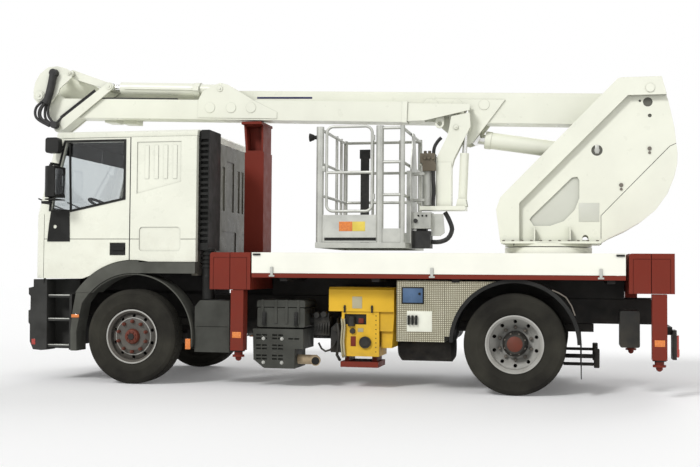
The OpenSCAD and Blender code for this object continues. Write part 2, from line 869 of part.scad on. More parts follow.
// Raised front strip of the side plates
strip_pts = [[200, 1590], [248, 1954], [200, 2089], [-1058, 3366], [-1101, 3376], [-1516, 3376],
    [-1568, 3180],
    [-1164, 3180], [-6, 2020], [-6, 1590]];
recess_pts = [[-116, 1841], [-132, 1871], [-571, 2301], [-629, 2309], [-651, 2271], [-651, 2077],
    [-600, 1944],
    [-484, 1824], [-338, 1773], [-160, 1773]];
plate_y = [300, 322];
strip_y = 395;
// Back sheet between the side plates: its outer line, then its inner one
turret_back = [[-1682, 2551], [-1678, 2434], [-1645, 2289], [-1575, 2114], [-1452, 1939], [-1312, 1822],
    [-1142, 1720], [-970, 1640], [-888, 1590], [-888, 1604], [-966, 1651], [-1136, 1731],
        [-1304, 1832], [-1442, 1948],
    [-1564, 2120], [-1633, 2293], [-1666, 2436], [-1670, 2551]];
// Seam of the counterweight's cover, and the round sinkings over the pins: X, Z and radius
cover_seam = [[-1690, 2671], [-1599, 2630], [-878, 1884], [-878, 1630], [-884, 1630], [-884, 1881],
    [-1603, 2624], [-1690, 2665]];
plate_holes = [[pivot_x, pivot_z, 50], [lift_pin[0], lift_pin[1], 60], [-1395, 2964, 20],
    [-1292, 3126, 13]];
module turret() {
    color(white) {
        both() {
            difference() {
                yshape(plate_y)
                    difference() {
                        polygon(turret_pts);
                        polygon(recess_pts);
                        translate([-715, 1640]) circle(32);
                        translate([-747, 1600]) square([64, 40]);
                    }
                yplate(cover_seam, [plate_y[1] - 5, plate_y[1] + 1]);
                for (h = plate_holes)
                    ycyl(h[0], h[1], [plate_y[1] - 10, plate_y[1] + 1], h[2]);
            }
            yshape([plate_y[0] - 8, plate_y[0]])
                offset(delta = 30) polygon(recess_pts);
            ycyl(-1396, 3253, [strip_y, strip_y + 12], 46);
            yplate(strip_pts, [strip_y - 12, strip_y]);
            yshape([plate_y[1], strip_y - 12])
                difference() {
                    polygon(strip_pts);
                    translate([-40, 0]) offset(delta = -12) polygon(strip_pts);
                }
            for (x = [-180, -560])
                yplate([[x, 1590], [x + 14, 1590], [x + 14, 1760], [x, 1740]], [plate_y[1], 440]);
            bx([-880, 190], [-462, 462], [1575, 1600]);
        }
        bx([-888, 196], [-plate_y[0], plate_y[0]], [1575, 1620]);
        difference() {
            zcyl(slew_x, 0, [1545, 1580], 480);
            zcyl(slew_x, 0, [1544, 1581], 300);
        }
        yplate([[200, 1590], [248, 1954], [200, 2089], [-100, 2394], [-109, 2385], [189, 2083], [236, 1952],
            [188, 1590]], [-plate_y[0], plate_y[0]]);
        yplate(turret_back, [-plate_y[0], plate_y[0]]);
        ycyl(pivot_x, pivot_z, [-316, 316], 45);
        ycyl(lift_pin[0], lift_pin[1], [-316, 316], 40);
    }
}

head_pts = [[7101, 360], [6975, 373], [6862, 347], [6775, 296], [6785, 231], [6932, 101],
    [6943, 49], [7040, -70],
    [7149, -88], [7221, -80], [7275, -20], [7280, 73], [7262, 177], [7206, 278]];
module boom1() {
    color(white) on_boom() {
        difference() {
            bx([-60, 6960], boom1_y, boom1_w);
            bx([-70, 6950], [boom1_y[0] + 10, boom1_y[1] - 10], [boom1_w[0] + 10, boom1_w[1] - 10]);
            ycyl(0, 0, [-400, 400], 47);
        }
        difference() {
            ycyl(0, 0, [-292, 292], 75);
            ycyl(0, 0, [-293, 293], 47);
        }
        for (y = [[-298.3, -280.3], [20.3, 38.3]])
            yplate([[1551, 57], [2450, 57], [2500, 0], [2420, -150], [2050, -440], [1960, -462],
                [1900, -440]], y);
        bx([6330, 6480], [-240, -20], [-262, boom1_w[0]]);
        bx([6060, 6250], [-220, -40], [-275, boom1_w[0]]);
        yshape([-303, -281]) head_shape();
        yshape([20, 30]) head_shape();
        yshape([300, 322]) polygon(head_pts);
        ycyl(knuckle_pin[0], knuckle_pin[1], [30, 330], 50);
        ycyl(knuckle_pin[0], knuckle_pin[1], [322, 334], 62);
        ycyl(top_link_pin[0], top_link_pin[1], [30, 330], 30);
        bx([6985, 7095], [-281, 300], [342, 358]);
        bx([6800, 6960], [-281, 20], [136, 300]);
    }
}

// Head plates that run back along the main boom
module head_shape() {
    polygon(head_pts);
    polygon([[6932, 101], [7040, -70], [6960, -210], [6350, -210], [6350, 60], [6520, 138], [6775, 240]]);
}

// Hoses from the head down to the second boom: distance out from the truck's middle, then the route
head_routes = [
    [342, [[6984, 240], [7010, 110], [7035, -20], [7062, -150], [7050, -245], [6975, -318]]],
    [342, [[7018, 240], [7045, 105], [7070, -25], [7100, -160], [7088, -275], [7000, -352]]],
    [374, [[6990, 240], [7020, 105], [7055, -30], [7140, -170], [7130, -275], [7010, -345]]],
    [374, [[7025, 242], [7058, 100], [7095, -35], [7205, -150], [7190, -275], [7040, -385]]]];
module head_hoses() {
    color(black) on_boom() {
        ycyl(7003, 282, [322, 390], 52);
        for (h = head_routes)
            hose(h[1], h[0], 15);
    }
}

lift_y = -130;
module lift_barrel() {
    a = lift_pin;
    c = boom_pt(lift_eye);
    t = (c - a) / norm(c - a);
    color(white) {
        difference() {
            union() {
                ycyl(a[0], a[1], [lift_y - 60, lift_y + 60], 90);
                rod2(a + t * 60, c - t * 170, lift_y, 95);
                rod2(c - t * 190, c - t * 120, lift_y, 102);
            }
            ycyl(a[0], a[1], [lift_y - 110, lift_y + 110], 42);
            rod2(a + t * 130, c, lift_y, 66);
        }
    }
}

module lift_rod() {
    a = lift_pin;
    c = boom_pt(lift_eye);
    t = (c - a) / norm(c - a);
    color([0.8, 0.8, 0.8]) {
        rod2(a + t * 150, c, lift_y, 60);
        ycyl(c[0], c[1], [lift_y - 135, lift_y + 135], 66);
    }
}

module boom2() {
    color(white) on_boom() {
        difference() {
            union() {
                bx([2640, 7110], boom2_y, boom2_w);
                bx([2640, 2700], [boom2_y[0] - 4, boom2_y[1] + 4], [boom2_w[0] - 4, boom2_w[1] + 4]);
                yshape(boom2_y) {
                    bar2d(knuckle_pin, [6960, -40], 85, 60);
                    bar2d(low_link_pin, [6980, -220], 55, 110);
                    bar2d(low_link_pin, [6700, -200], 55, 40);
                }
            }
            bx([2600, 6400], [boom2_y[0] + 8, boom2_y[1] - 8], [boom2_w[0] + 8, boom2_w[1] - 8]);
            ycyl(knuckle_pin[0], knuckle_pin[1], [0, 400], 52);
        }
        for (y = [[boom2_y[0], boom2_y[0] + 22], [boom2_y[1] - 20, boom2_y[1] + 8]])
            yshape(y)
                difference() {
                    polygon([[5160, -12], [5110, 90], [4970, 165], [4895, 192], [4800, 170],
                        [4640, 80], [4480, -12]]);
                    translate(fold_cyl_pin) circle(32);
                }
        yplate([[5160, -12], [5110, 60], [4640, 60], [4480, -12], [4180, -150], [4180, -225], [5160, -225]],
            [boom2_y[1], boom2_y[1] + 8]);
        ycyl(low_link_pin[0], low_link_pin[1], [32, 290], 28);
    }
    color(black) on_boom()
        for (y = [210, 232])
            rod2([5440, boom2_w[1] + 10.5], [6440, boom2_w[1] + 10.5], y, 10);
}

module boom2_inner() {
    y = [boom2_y[0] + 14, boom2_y[1] - 14];
    w = [boom2_w[0] + 14, boom2_w[1] - 14];
    color(white) on_boom() {
        difference() {
            yplate([[5000, w[0]], [5000, w[1]], [1930, w[1]], [1930, -95], [2440, w[0] + 10],
                [2640, w[0]]], y);
            bx([2100, 5001], [y[0] + 10, y[1] - 10], [w[0] + 10, w[1] - 10]);
            bx([1900, 2101], [y[0] + 12, y[1] - 12], [w[0] - 10, w[1] + 10]);
        }
        yshape([lane2 - 18, lane2 + 18])
            difference() {
                union() {
                    bar2d(hang_pin, [2150, -60], 60, 40);
                    bar2d([2273, -248], [2273, -60], 50, 40);
                }
                translate(hang_pin) circle(31);
                translate([2273, -248]) circle(28);
            }
    }
}

link_d = unit(toggle_pin - low_link_pin);
function link_pt(along, off) = low_link_pin + along * link_d + off * [link_d[1], -link_d[0]];
module link_lower() {
    color(white) on_boom()
        for (y = [[36, 58], [262, 286]])
            yshape(y)
                difference() {
                    bar2d(low_link_pin, toggle_pin, 62, 50);
                    translate(low_link_pin) circle(30);
                }
    color(black) on_boom()
        for (off = [0, 21])
            rod2(link_pt(90, 72 + off), link_pt(640, 64 + off), 274, 10);
}

module link_upper() {
    color(white) on_boom()
        for (y = [[84, 112], [204, 232]])
            yshape(y)
                difference() {
                    bar2d(top_link_pin, toggle_pin, 50, 42);
                    translate(top_link_pin) circle(32);
                }
}

module fold_barrel() {
    color(white) on_boom()
        difference() {
            union() {
                rod2(fold_cyl_pin + [35, 0], [5400, 126], lane2, 66);
                rod2([5175, 124], [6190, 134], lane2, 74);
                rod2([5168, 124], [5245, 124.5], lane2, 82);
                bx([5170, 5243], [lane2 + 60, lane2 + 98], [98, 150]);
                rod2([5240, 112], [6120, 120], lane2 + 76, 9);
                ycyl(fold_cyl_pin[0], fold_cyl_pin[1], [lane2 - 62, lane2 + 62], 58);
            }
            rod2([4980, 122], [6300, 135], lane2, 48);
        }
    color(white) on_boom() ycyl(fold_cyl_pin[0], fold_cyl_pin[1], [68, 248], 30);
}

module fold_rod() {
    color([0.8, 0.8, 0.8]) on_boom() {
        rod2([5000, 122], toggle_pin, lane2, 45);
        ycyl(toggle_pin[0], toggle_pin[1], [lane2 - 40, lane2 + 40], 55);
    }
}

hang_pt = boom_pt(hang_pin);
level_pt = boom_pt(level_pin);
level_foot = [643, 2045];
rotor_x = 1030;
module hanger() {
    color(white) {
        for (y = [[98, 122], [194, 218]])
            difference() {
                yplate([[765, 3025], [560, 3062], [548, 2905], [735, 2540], [762, 2440],
                    [940, 2440], [940, 2540],
                    [810, 2800]], y);
                ycyl(level_pt[0], level_pt[1], [0, 400], 62);
            }
        ycyl(hang_pt[0], hang_pt[1], [98, 228], 29);
        bx([762, 940], [lane2 - 68, lane2 + 68], [1990, 2500]);
        bx([600, 1110], [20, 300], [1955, 2000]);
        for (y = [76, 216])
            yplate([[585, 1999], [710, 1999], [690, 2085], [600, 2085]], [y, y + 24]);
        ycyl(level_foot[0], level_foot[1], [80, 236], 22);
        zcyl(rotor_x, lane2, [1990, 2480], 40);
        bx([930, 1120], [lane2 - 68, lane2 + 68], [2470, 2490]);
    }
}

// Valve block over the swivel, with the hoses that come from the boom and go down to the base plate
module hanger_hoses() {
    color(black) {
        bx([948, 1112], [96, 284], [2490, 2600]);
        bx([935, 1085], [236, 284], [2400, 2495]);
        for (x = [965, 1010, 1055])
            ycyl(x, 2545, [283, 300], 17);
        for (x = [1020, 1070])
            zcyl(x, lane2, [2599, 2640], 18);
        hose([[975, 2600.5], [965, 2680], [925, 2750], [885, 2790]], lane2, 20);
        hose([[962, 2399.5], [962, 2300], [956, 2180], [962, 2070], [962, 2001.5]], 262, 22);
    }
}

module level_barrel() {
    t = (level_pt - level_foot) / norm(level_pt - level_foot);
    color(white)
        difference() {
            union() {
                ycyl(level_foot[0], level_foot[1], [lane2 - 36, lane2 + 36], 45);
                rod2(level_foot + t * 30, level_foot + t * 560, lane2, 50);
            }
            ycyl(level_foot[0], level_foot[1], [0, 400], 24);
            rod2(level_foot + t * 70, level_pt, lane2, 30);
        }
}

module level_rod() {
    t = (level_pt - level_foot) / norm(level_pt - level_foot);
    color([0.8, 0.8, 0.8]) {
        rod2(level_foot + t * 480, level_pt, lane2, 27);
        ycyl(level_pt[0], level_pt[1], [lane2 - 30, lane2 + 30], 38);
    }
}

basket_x = [2205 - basket_l, 2205];
basket_y = [lane2 - basket_w / 2 - 78, lane2 + basket_w / 2 - 78];
basket_z = [1515, 1515 + basket_h];
rail_r = 17;
post_r = 42;
module basket() {
    x = [basket_x[0] + post_r, basket_x[1] - post_r];
    y = [basket_y[0] + post_r, basket_y[1] - post_r];
    floor_top = basket_z[0] + 60;
    color(alloy) {
        difference() {
            bx(basket_x, basket_y, [basket_z[0], floor_top]);
            bx([basket_x[0] + 45, basket_x[1] - 45], [basket_y[0] + 45, basket_y[1] - 45],
                [basket_z[0] - 1, floor_top - 8]);
        }
        for (px = [1488, x[1]])
            zcyl(px, y[1], [floor_top - 5, basket_z[1]], post_r);
        for (px = x)
            zcyl(px, y[0], [floor_top - 5, basket_z[1]], 26);
        for (py = [-330, -90])
            zcyl(x[1], py, [floor_top - 5, basket_z[1]], rail_r);
        for (px = [1480, 1820])
            zcyl(px, y[0], [floor_top - 5, basket_z[1]], rail_r);
        zcyl(x[0], y[1], [floor_top - 5, basket_z[1]], 26);
        bx([1488, x[1]], [y[1] + 12, y[1] + 20], [basket_z[0] + 65, 1880]);
        bx([basket_x[0] + 30, 1488], [y[1] + 12, y[1] + 20], [basket_z[0] + 65, 1730]);
        bx([basket_x[1] - 50, basket_x[1] - 42], y, [floor_top - 5, 1730]);
        bx(x, [y[0] - 4, y[0] + 4], [floor_top - 5, 1730]);
        for (z = [basket_z[1] - 25, basket_z[1] - 400, basket_z[1] - 760]) {
            ycyl(x[0], z, y, rail_r);
            ycyl(x[1], z, y, rail_r);
            xcyl(y[0], z, x, rail_r);
            xcyl(y[1], z, [x[0], 1488], rail_r);
        }
        translate([basket_x[0], 0, 0])
            rotate([90, 0, 90])
                linear_extrude(14)
                    polygon([[-70, 1560], [390, 1560], [390, 2380], [240, 2835], [100, 2835], [-70, 2380]]);
        for (py = [-20, 330])
            bx([basket_x[0], basket_x[0] + 60], [py - 6, py + 6], [1560, 2400]);
        difference() {
            union() {
                zcyl(rotor_x, lane2, [2012, 2440], 72);
                for (z = [2060, 2360])
                    bx([rotor_x, basket_x[0] + 6], [lane2 - 60, lane2 + 60], [z, z + 30]);
            }
            zcyl(rotor_x, lane2, [2000, 2480], 42);
        }
    }
}

// Control box behind the basket, with the pump box under it and the hose that feeds it
module basket_controls() {
    color(alloy) {
        bx([980, basket_x[0]], [70, 330], [1745, 1930]);
        yplate([[985, 1913], [850, 1913], [832, 1700], [880, 1664], [985, 1664]], [240, 250]);
    }
    color(black) {
        ycyl(1150, 1832, [329, 354], 24);
        bx([1862, 1966], [-561, -536], [1575, 2641]);
        bx([1850, 1978], [-561, -532], [2640, 2750]);
        bx([1040, 1150], [120, 280], [1719, 1746]);
        bx([990, basket_x[0]], [90, 310], [1525, 1720]);
        hose([[836, 1934], [790, 1850], [755, 1740], [800, 1640], [890, 1600], [989.5, 1598]], 200, 26);
    }
}

gate_x = [1560, 2105];
gate_z = [1905, basket_z[1] + 15];
gate_r = 16;
gate_bend = 75;
module basket_gate() {
    y = basket_y[1] - post_r;
    x = [gate_x[0] + gate_r, gate_x[1] - gate_r];
    z = [gate_z[0] + gate_r, gate_z[1] - gate_r];
    color(alloy) {
        for (px = x)
            zcyl(px, y, [z[0] + gate_bend, z[1] - gate_bend], gate_r);
        for (pz = z)
            xcyl(y, pz, [x[0] + gate_bend, x[1] - gate_bend], gate_r);
        xcyl(y, (z[0] + z[1]) / 2 - 40, x, gate_r);
        for (c = [[x[1], z[1], 0], [x[0], z[1], 90], [x[0], z[0], 180], [x[1], z[0], 270]])
            translate([c[0] + (c[0] == x[1] ? -gate_bend : gate_bend), y,
                c[1] + (c[1] == z[1] ? -gate_bend : gate_bend)])
                rotate([90, -c[2], 0])
                    mirror([0, 0, 0])
                        rotate_extrude(angle = 90)
                            translate([gate_bend, 0]) circle(gate_r);
        for (pz = [2050, 2700])
            zcyl(gate_x[0] - 4, y, [pz, pz + 60], 13);
    }
}

on_frame() {
    chassis_frame();
    axles();
    power_unit();
    bumper_steps();
    cab_front();
    cab_sides();
    cab_rear();
    cab_roof();
    windscreen();
    interior();
    wheel_arches();
    side_boxes();
    aux_engine();
    tool_locker();
    rear_mudguards();
    deck();
    subframe();
    lamps();
    door_left();
    door_glass_left();
    door_trim_left();
    door_right();
    door_glass_right();
    door_trim_right();
    knuckle_left();
    knuckle_right();
    rim_front_left();
    tyre_front_left();
    rim_front_right();
    tyre_front_right();
    rim_rear_left();
    tyre_rear_left();
    rim_rear_right();
    tyre_rear_right();
    beam_front_left();
    beam_front_right();
    beam_rear_left();
    beam_rear_right();
    leg_front_left();
    leg_front_right();
    leg_rear_left();
    leg_rear_right();
    turret();
    boom1();
    lift_barrel();
    lift_rod();
    boom2();
    boom2_inner();
    link_lower();
    link_upper();
    fold_barrel();
    fold_rod();
    hanger();
    level_barrel();
    level_rod();
    basket();
    basket_gate();
    head_hoses();
    hanger_hoses();
    basket_controls();
}
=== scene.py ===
import math

import bmesh
import bpy
from mathutils import Matrix, Vector


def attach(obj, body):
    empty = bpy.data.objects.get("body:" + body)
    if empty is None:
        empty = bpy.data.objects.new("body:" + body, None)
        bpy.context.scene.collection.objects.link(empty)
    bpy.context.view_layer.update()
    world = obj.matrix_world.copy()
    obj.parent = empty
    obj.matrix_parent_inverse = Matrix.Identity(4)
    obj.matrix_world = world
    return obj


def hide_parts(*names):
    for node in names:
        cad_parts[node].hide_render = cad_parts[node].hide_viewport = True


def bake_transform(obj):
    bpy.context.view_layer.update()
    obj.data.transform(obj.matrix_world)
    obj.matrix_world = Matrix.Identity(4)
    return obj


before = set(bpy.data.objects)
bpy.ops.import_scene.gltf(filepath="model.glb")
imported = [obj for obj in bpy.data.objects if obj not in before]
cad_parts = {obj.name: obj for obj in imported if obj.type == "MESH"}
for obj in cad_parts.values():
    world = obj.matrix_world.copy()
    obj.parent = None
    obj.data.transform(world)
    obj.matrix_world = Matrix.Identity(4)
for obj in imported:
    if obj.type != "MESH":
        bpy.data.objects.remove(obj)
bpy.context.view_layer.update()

# Studio and viewpoint
# The truck stands on a pale floor and is seen from its left side, a little behind the middle,
# from about eye height, as it was photographed.
axle_x = -2.1077
photo_width = 700.0
focal_pixels = 1050.19
sensor_width = 36.0


def from_axle(x, y, z):
    """A point measured from the ground under the middle of the rear axle."""
    return Vector((x + axle_x, y, z))


view = bpy.data.cameras.new("viewpoint")
view.sensor_width = sensor_width
view.lens = focal_pixels / photo_width * sensor_width
view.clip_end = 200.0
eye = bpy.data.objects.new("viewpoint", view)
across = Vector((-0.97749, -0.21087, 0.00697))
upward = Vector((-0.00072, 0.03638, 0.99934))
ahead = Vector((0.21099, -0.97684, 0.03571))
turn = Matrix((across, upward, -ahead)).transposed().to_4x4()
eye.matrix_world = Matrix.Translation(from_axle(-0.6223, 12.0412, 1.2617)) @ turn
bpy.context.scene.collection.objects.link(eye)
bpy.context.scene.camera = eye
bpy.context.scene.view_settings.view_transform = "Standard"


def soft_lamp(name, place, strength, spread):
    """Distant lamp that shines from a place towards the truck, blurred by a spread in degrees."""
    lamp = bpy.data.lights.new(name, "SUN")
    lamp.energy = strength
    lamp.angle = math.radians(spread)
    holder = bpy.data.objects.new(name, lamp)
    holder.rotation_euler = (-Vector(place)).to_track_quat("-Z", "Y").to_euler()
    bpy.context.scene.collection.objects.link(holder)


soft_lamp("key_lamp", (0.40, 0.80, 0.64), 1.80, 14.0)
soft_lamp("fill_lamp", (-0.75, 0.60, 0.45), 0.45, 40.0)
soft_lamp("back_lamp", (-0.15, -0.80, 0.60), 1.00, 40.0)

# White wherever it is seen, reflected or looked at through glass, but dimmer as a light.
white_level = 1.0
light_level = 0.40
world = bpy.data.worlds.new("studio")
bpy.context.scene.world = world
world.use_nodes = True
sky = world.node_tree
background = sky.nodes["Background"]
background.inputs["Color"].default_value = (1.0, 1.0, 1.0, 1.0)
rays = sky.nodes.new("ShaderNodeLightPath")
shown = rays.outputs["Is Camera Ray"]
for ray in ("Is Glossy Ray", "Is Transmission Ray"):
    either = sky.nodes.new("ShaderNodeMath")
    either.operation = "MAXIMUM"
    sky.links.new(shown, either.inputs[0])
    sky.links.new(rays.outputs[ray], either.inputs[1])
    shown = either.outputs["Value"]
level = sky.nodes.new("ShaderNodeMapRange")
level.inputs["To Min"].default_value = light_level
level.inputs["To Max"].default_value = white_level
sky.links.new(shown, level.inputs["Value"])
sky.links.new(level.outputs["Result"], background.inputs["Strength"])

floor_bm = bmesh.new()
bmesh.ops.create_grid(floor_bm, x_segments=2, y_segments=2, size=60.0)
floor_mesh = bpy.data.meshes.new("floor")
floor_bm.to_mesh(floor_mesh)
floor_bm.free()
floor = bpy.data.objects.new("floor", floor_mesh)
bpy.context.scene.collection.objects.link(floor)
floor_finish = bpy.data.materials.new("floor")
floor_finish.use_nodes = True
floor_tree = floor_finish.node_tree
floor_shader = floor_tree.nodes["Principled BSDF"]
floor_shader.inputs["Base Color"].default_value = (0.86, 0.86, 0.86, 1.0)
floor_shader.inputs["Roughness"].default_value = 0.9
glow = floor_tree.nodes.new("ShaderNodeEmission")
glow.inputs["Strength"].default_value = 0.10
lit_floor = floor_tree.nodes.new("ShaderNodeAddShader")
floor_tree.links.new(floor_shader.outputs[0], lit_floor.inputs[0])
floor_tree.links.new(glow.outputs[0], lit_floor.inputs[1])
floor_tree.links.new(lit_floor.outputs[0], floor_tree.nodes["Material Output"].inputs["Surface"])
floor.data.materials.append(floor_finish)

# Ladder frame, axles, steering knuckles and engine
# Rolled steel rails, beam axles on leaf springs and one block of engine and gearbox, all under
# the same thin black frame paint, grey with road dust.


def finish(name, rough, metal=0.0):
    """New material, with its node tree, its shader and the object's own coordinates."""
    made = bpy.data.materials.new(name)
    made.use_nodes = True
    tree = made.node_tree
    shader = tree.nodes["Principled BSDF"]
    shader.inputs["Roughness"].default_value = rough
    shader.inputs["Metallic"].default_value = metal
    place = tree.nodes.new("ShaderNodeTexCoord").outputs["Object"]
    return made, tree, shader, place


def mottle(tree, place, scale, detail=4.0):
    """Irregular patches from 0 to 1, smaller for a larger scale."""
    noise = tree.nodes.new("ShaderNodeTexNoise")
    noise.inputs["Scale"].default_value = scale
    noise.inputs["Detail"].default_value = detail
    tree.links.new(place, noise.inputs["Vector"])
    return noise.outputs["Fac"]


def shades(tree, amount, stops):
    """Colour that follows an amount between two stops, each an amount and its colour."""
    ramp = tree.nodes.new("ShaderNodeValToRGB")
    for stop, (at, colour) in zip(ramp.color_ramp.elements, stops):
        stop.position = at
        stop.color = (*colour, 1.0)
    tree.links.new(amount, ramp.inputs["Fac"])
    return ramp.outputs["Color"]


def between(tree, amount, low, high, at_low=0.0, at_high=1.0):
    """Amount carried over from the range low to high to the range at_low to at_high."""
    mapped = tree.nodes.new("ShaderNodeMapRange")
    mapped.inputs["From Min"].default_value = low
    mapped.inputs["From Max"].default_value = high
    mapped.inputs["To Min"].default_value = at_low
    mapped.inputs["To Max"].default_value = at_high
    tree.links.new(amount, mapped.inputs["Value"])
    return mapped.outputs["Result"]


def product(tree, a, b):
    """Two amounts multiplied."""
    both = tree.nodes.new("ShaderNodeMath")
    both.operation = "MULTIPLY"
    tree.links.new(a, both.inputs[0])
    tree.links.new(b, both.inputs[1])
    return both.outputs["Value"]


def mixed(tree, amount, first, second):
    """Colour first, covered by the constant colour second by an amount."""
    mix = tree.nodes.new("ShaderNodeMix")
    mix.data_type = "RGBA"
    tree.links.new(amount, mix.inputs["Factor"])
    tree.links.new(first, mix.inputs[6])
    mix.inputs[7].default_value = (*second, 1.0)
    return mix.outputs[2]


def uneven(tree, shader, place, scale, smoothest, roughest):
    """Roughness that changes between two values in patches."""
    rough = between(tree, mottle(tree, place, scale), 0.3, 0.7, smoothest, roughest)
    tree.links.new(rough, shader.inputs["Roughness"])


def raised(tree, shader, height, strength, distance, edge=0.004):
    """Relief from a height, on a surface whose sharp edges are softened by the radius edge."""
    bump = tree.nodes.new("ShaderNodeBump")
    bump.inputs["Strength"].default_value = strength
    bump.inputs["Distance"].default_value = distance
    rounded = tree.nodes.new("ShaderNodeBevel")
    rounded.samples = 4
    rounded.inputs["Radius"].default_value = edge
    tree.links.new(rounded.outputs["Normal"], bump.inputs["Normal"])
    tree.links.new(height, bump.inputs["Height"])
    tree.links.new(bump.outputs["Normal"], shader.inputs["Normal"])


def dusty_paint(name, colour, dust, low, high, rough=0.42, share=0.75, gloss=0.5):
    """Sprayed coat, uneven in tone, with painted shade darkening its corners.

    Road dust hides a share of it at the height low, and none from the height high up.
    """
    made, tree, shader, place = finish(name, rough)
    shader.inputs["Specular IOR Level"].default_value = gloss
    deep = tuple(c * 0.93 for c in colour)
    corner_shade_tone = tuple(c * 0.4 for c in colour)
    tone = shades(tree, mottle(tree, place, 2.2), [(0.3, deep), (0.7, colour)])
    split = tree.nodes.new("ShaderNodeSeparateXYZ")
    tree.links.new(place, split.inputs[0])
    lower = between(tree, split.outputs["Z"], low, high, share, 0.0)
    cover = product(tree, lower, between(tree, mottle(tree, place, 6.5, 8.0), 0.35, 0.7))
    # Painted shade: ambient occlusion darkens the coat in corners and creases.
    corner = tree.nodes.new("ShaderNodeAmbientOcclusion")
    corner.samples = 4
    corner.inputs["Distance"].default_value = 0.07
    painted_corner_shade = between(tree, corner.outputs["AO"], 0.35, 0.9, 0.6, 0.0)
    tone = mixed(tree, painted_corner_shade, mixed(tree, cover, tone, dust), corner_shade_tone)
    tree.links.new(tone, shader.inputs["Base Color"])
    uneven(tree, shader, place, 9.0, rough - 0.06, rough + 0.12)
    raised(tree, shader, mottle(tree, place, 90.0, 2.0), 0.03, 0.002)
    return made


def coat(made, *names):
    """One material all over the named CAD pieces."""
    for name in names:
        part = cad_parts[name]
        part.data.materials.clear()
        part.data.materials.append(made)


road_dust = (0.20, 0.18, 0.145)
frame_paint = dusty_paint("frame_paint", (0.016, 0.015, 0.014), road_dust, 0.2, 1.2,
                          rough=0.6, share=0.25, gloss=0.25)
coat(frame_paint, "chassis_frame", "axles", "knuckle_left", "knuckle_right", "power_unit")

# Wheels and tyres
# Pressed steel rims with ten nuts each, single in front and twinned at the back. The tyres are
# moulded rubber with four grooves round them and cross cuts in the shoulders.
tyre_radius = 0.522
rear_disc_middle = 0.134
rim_paint = dusty_paint("rim_paint", (0.42, 0.415, 0.385), (0.13, 0.115, 0.09), 0.1, 1.0,
                        rough=0.45, share=0.6)
front_rim_paint = dusty_paint("front_rim_paint", (0.075, 0.068, 0.058), road_dust, 0.1, 1.0,
                              rough=0.6, share=0.4)
hub_paint = dusty_paint("hub_paint", (0.14, 0.034, 0.020), (0.07, 0.05, 0.035), 0.1, 1.0,
                        rough=0.55, share=0.7, gloss=0.25)
dull_steel = dusty_paint("dull_steel", (0.16, 0.14, 0.115), (0.08, 0.065, 0.05), 0.1, 1.0,
                         rough=0.5, share=0.7)
coat(rim_paint, "rim_rear_left", "rim_rear_right")
coat(front_rim_paint, "rim_front_left", "rim_front_right")


def coat_where(made, name, test):
    """Second material on the faces of a CAD piece whose middle and normal pass a test.

    The middle is measured from the rear axle.
    """
    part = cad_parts[name]
    part.data.materials.append(made)
    for face in part.data.polygons:
        if test(face.center.x - axle_x, face.center.y, face.center.z, face.normal):
            face.material_index = len(part.data.materials) - 1


for name in ("rim_rear_left", "rim_rear_right"):
    coat_where(frame_paint, name,
               lambda x, y, z, n: math.hypot(x, z - tyre_radius) < rear_disc_middle)


def patchy(tree, shader, place, scale, stops, detail=4.0):
    """Base colour that changes between two tones in patches."""
    tone = shades(tree, mottle(tree, place, scale, detail), stops)
    tree.links.new(tone, shader.inputs["Base Color"])


rubber, tree, shader, place = finish("tyre_rubber", 0.85)
shader.inputs["Specular IOR Level"].default_value = 0.2
patchy(tree, shader, place, 3.0, [(0.3, (0.011, 0.010, 0.008)), (0.75, (0.036, 0.034, 0.026))],
       detail=8.0)
raised(tree, shader, mottle(tree, place, 55.0, 6.0), 0.18, 0.004)


def add_piece(name, bm, body, material):
    """Mesh piece with sharp corners, that rides a body if one is given."""
    sharp_from = math.radians(35.0)
    mesh = bpy.data.meshes.new(name)
    bm.normal_update()
    for face in bm.faces:
        face.smooth = True
    for edge in bm.edges:
        if len(edge.link_faces) == 2 and edge.calc_face_angle(0.0) > sharp_from:
            edge.smooth = False
    bm.to_mesh(mesh)
    bm.free()
    made = bpy.data.objects.new(name, mesh)
    bpy.context.scene.collection.objects.link(made)
    mesh.materials.append(material)
    if body:
        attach(made, body)
    return made


def revolved(bm, outline, centre, sign, steps, closed=False):
    """Turns an outline of radius and distance out about a wheel's axle."""
    ring = [bm.verts.new(centre + Vector((0.0, sign * y, r))) for r, y in outline]
    ends = ring[1:] + ring[:1] if closed else ring[1:]
    loop = [bm.edges.new((a, b)) for a, b in zip(ring, ends)]
    bmesh.ops.spin(bm, geom=ring + loop, cent=centre, axis=(0.0, 1.0, 0.0), angle=2.0 * math.pi,
                   steps=steps, use_merge=True)
    bmesh.ops.remove_doubles(bm, verts=bm.verts, dist=0.0002)
    bmesh.ops.recalc_face_normals(bm, faces=bm.faces)


def stud(bm, at, axis, radius, tall, sides=16, top=0.93):
    """Head, pin or post that stands on a face at a point, along an axis.

    Its top is wider or narrower than its foot by the factor top.
    """
    axis = Vector(axis).normalized()
    stand = (Matrix.Translation(Vector(at) + axis * tall / 2.0)
             @ axis.to_track_quat("Z", "Y").to_matrix().to_4x4())
    bmesh.ops.create_cone(bm, cap_ends=True, segments=sides, radius1=radius, radius2=radius * top,
                          depth=tall, matrix=stand)


def bolt_ring(bm, centre, sign, count, circle, seat, size, tall, threaded):
    """Hexagon heads round a wheel's axle, with the ends of the threads if they are nuts."""
    for k in range(count):
        a = 2.0 * math.pi * (k + 0.5) / count
        spot = centre + Vector((circle * math.cos(a), sign * seat, circle * math.sin(a)))
        stud(bm, spot, (0.0, sign, 0.0), size, tall, sides=6)
        if threaded:
            stud(bm, spot, (0.0, sign, 0.0), size * 0.5, tall * 1.4, sides=12)


tread_steps = 120
steps_per_cut = 3
groove_depth = 0.011
shoulder_drop = 0.0015
tread_ribs = [(-0.100, -0.062), (-0.050, -0.020), (-0.008, 0.008), (0.020, 0.050), (0.062, 0.100)]


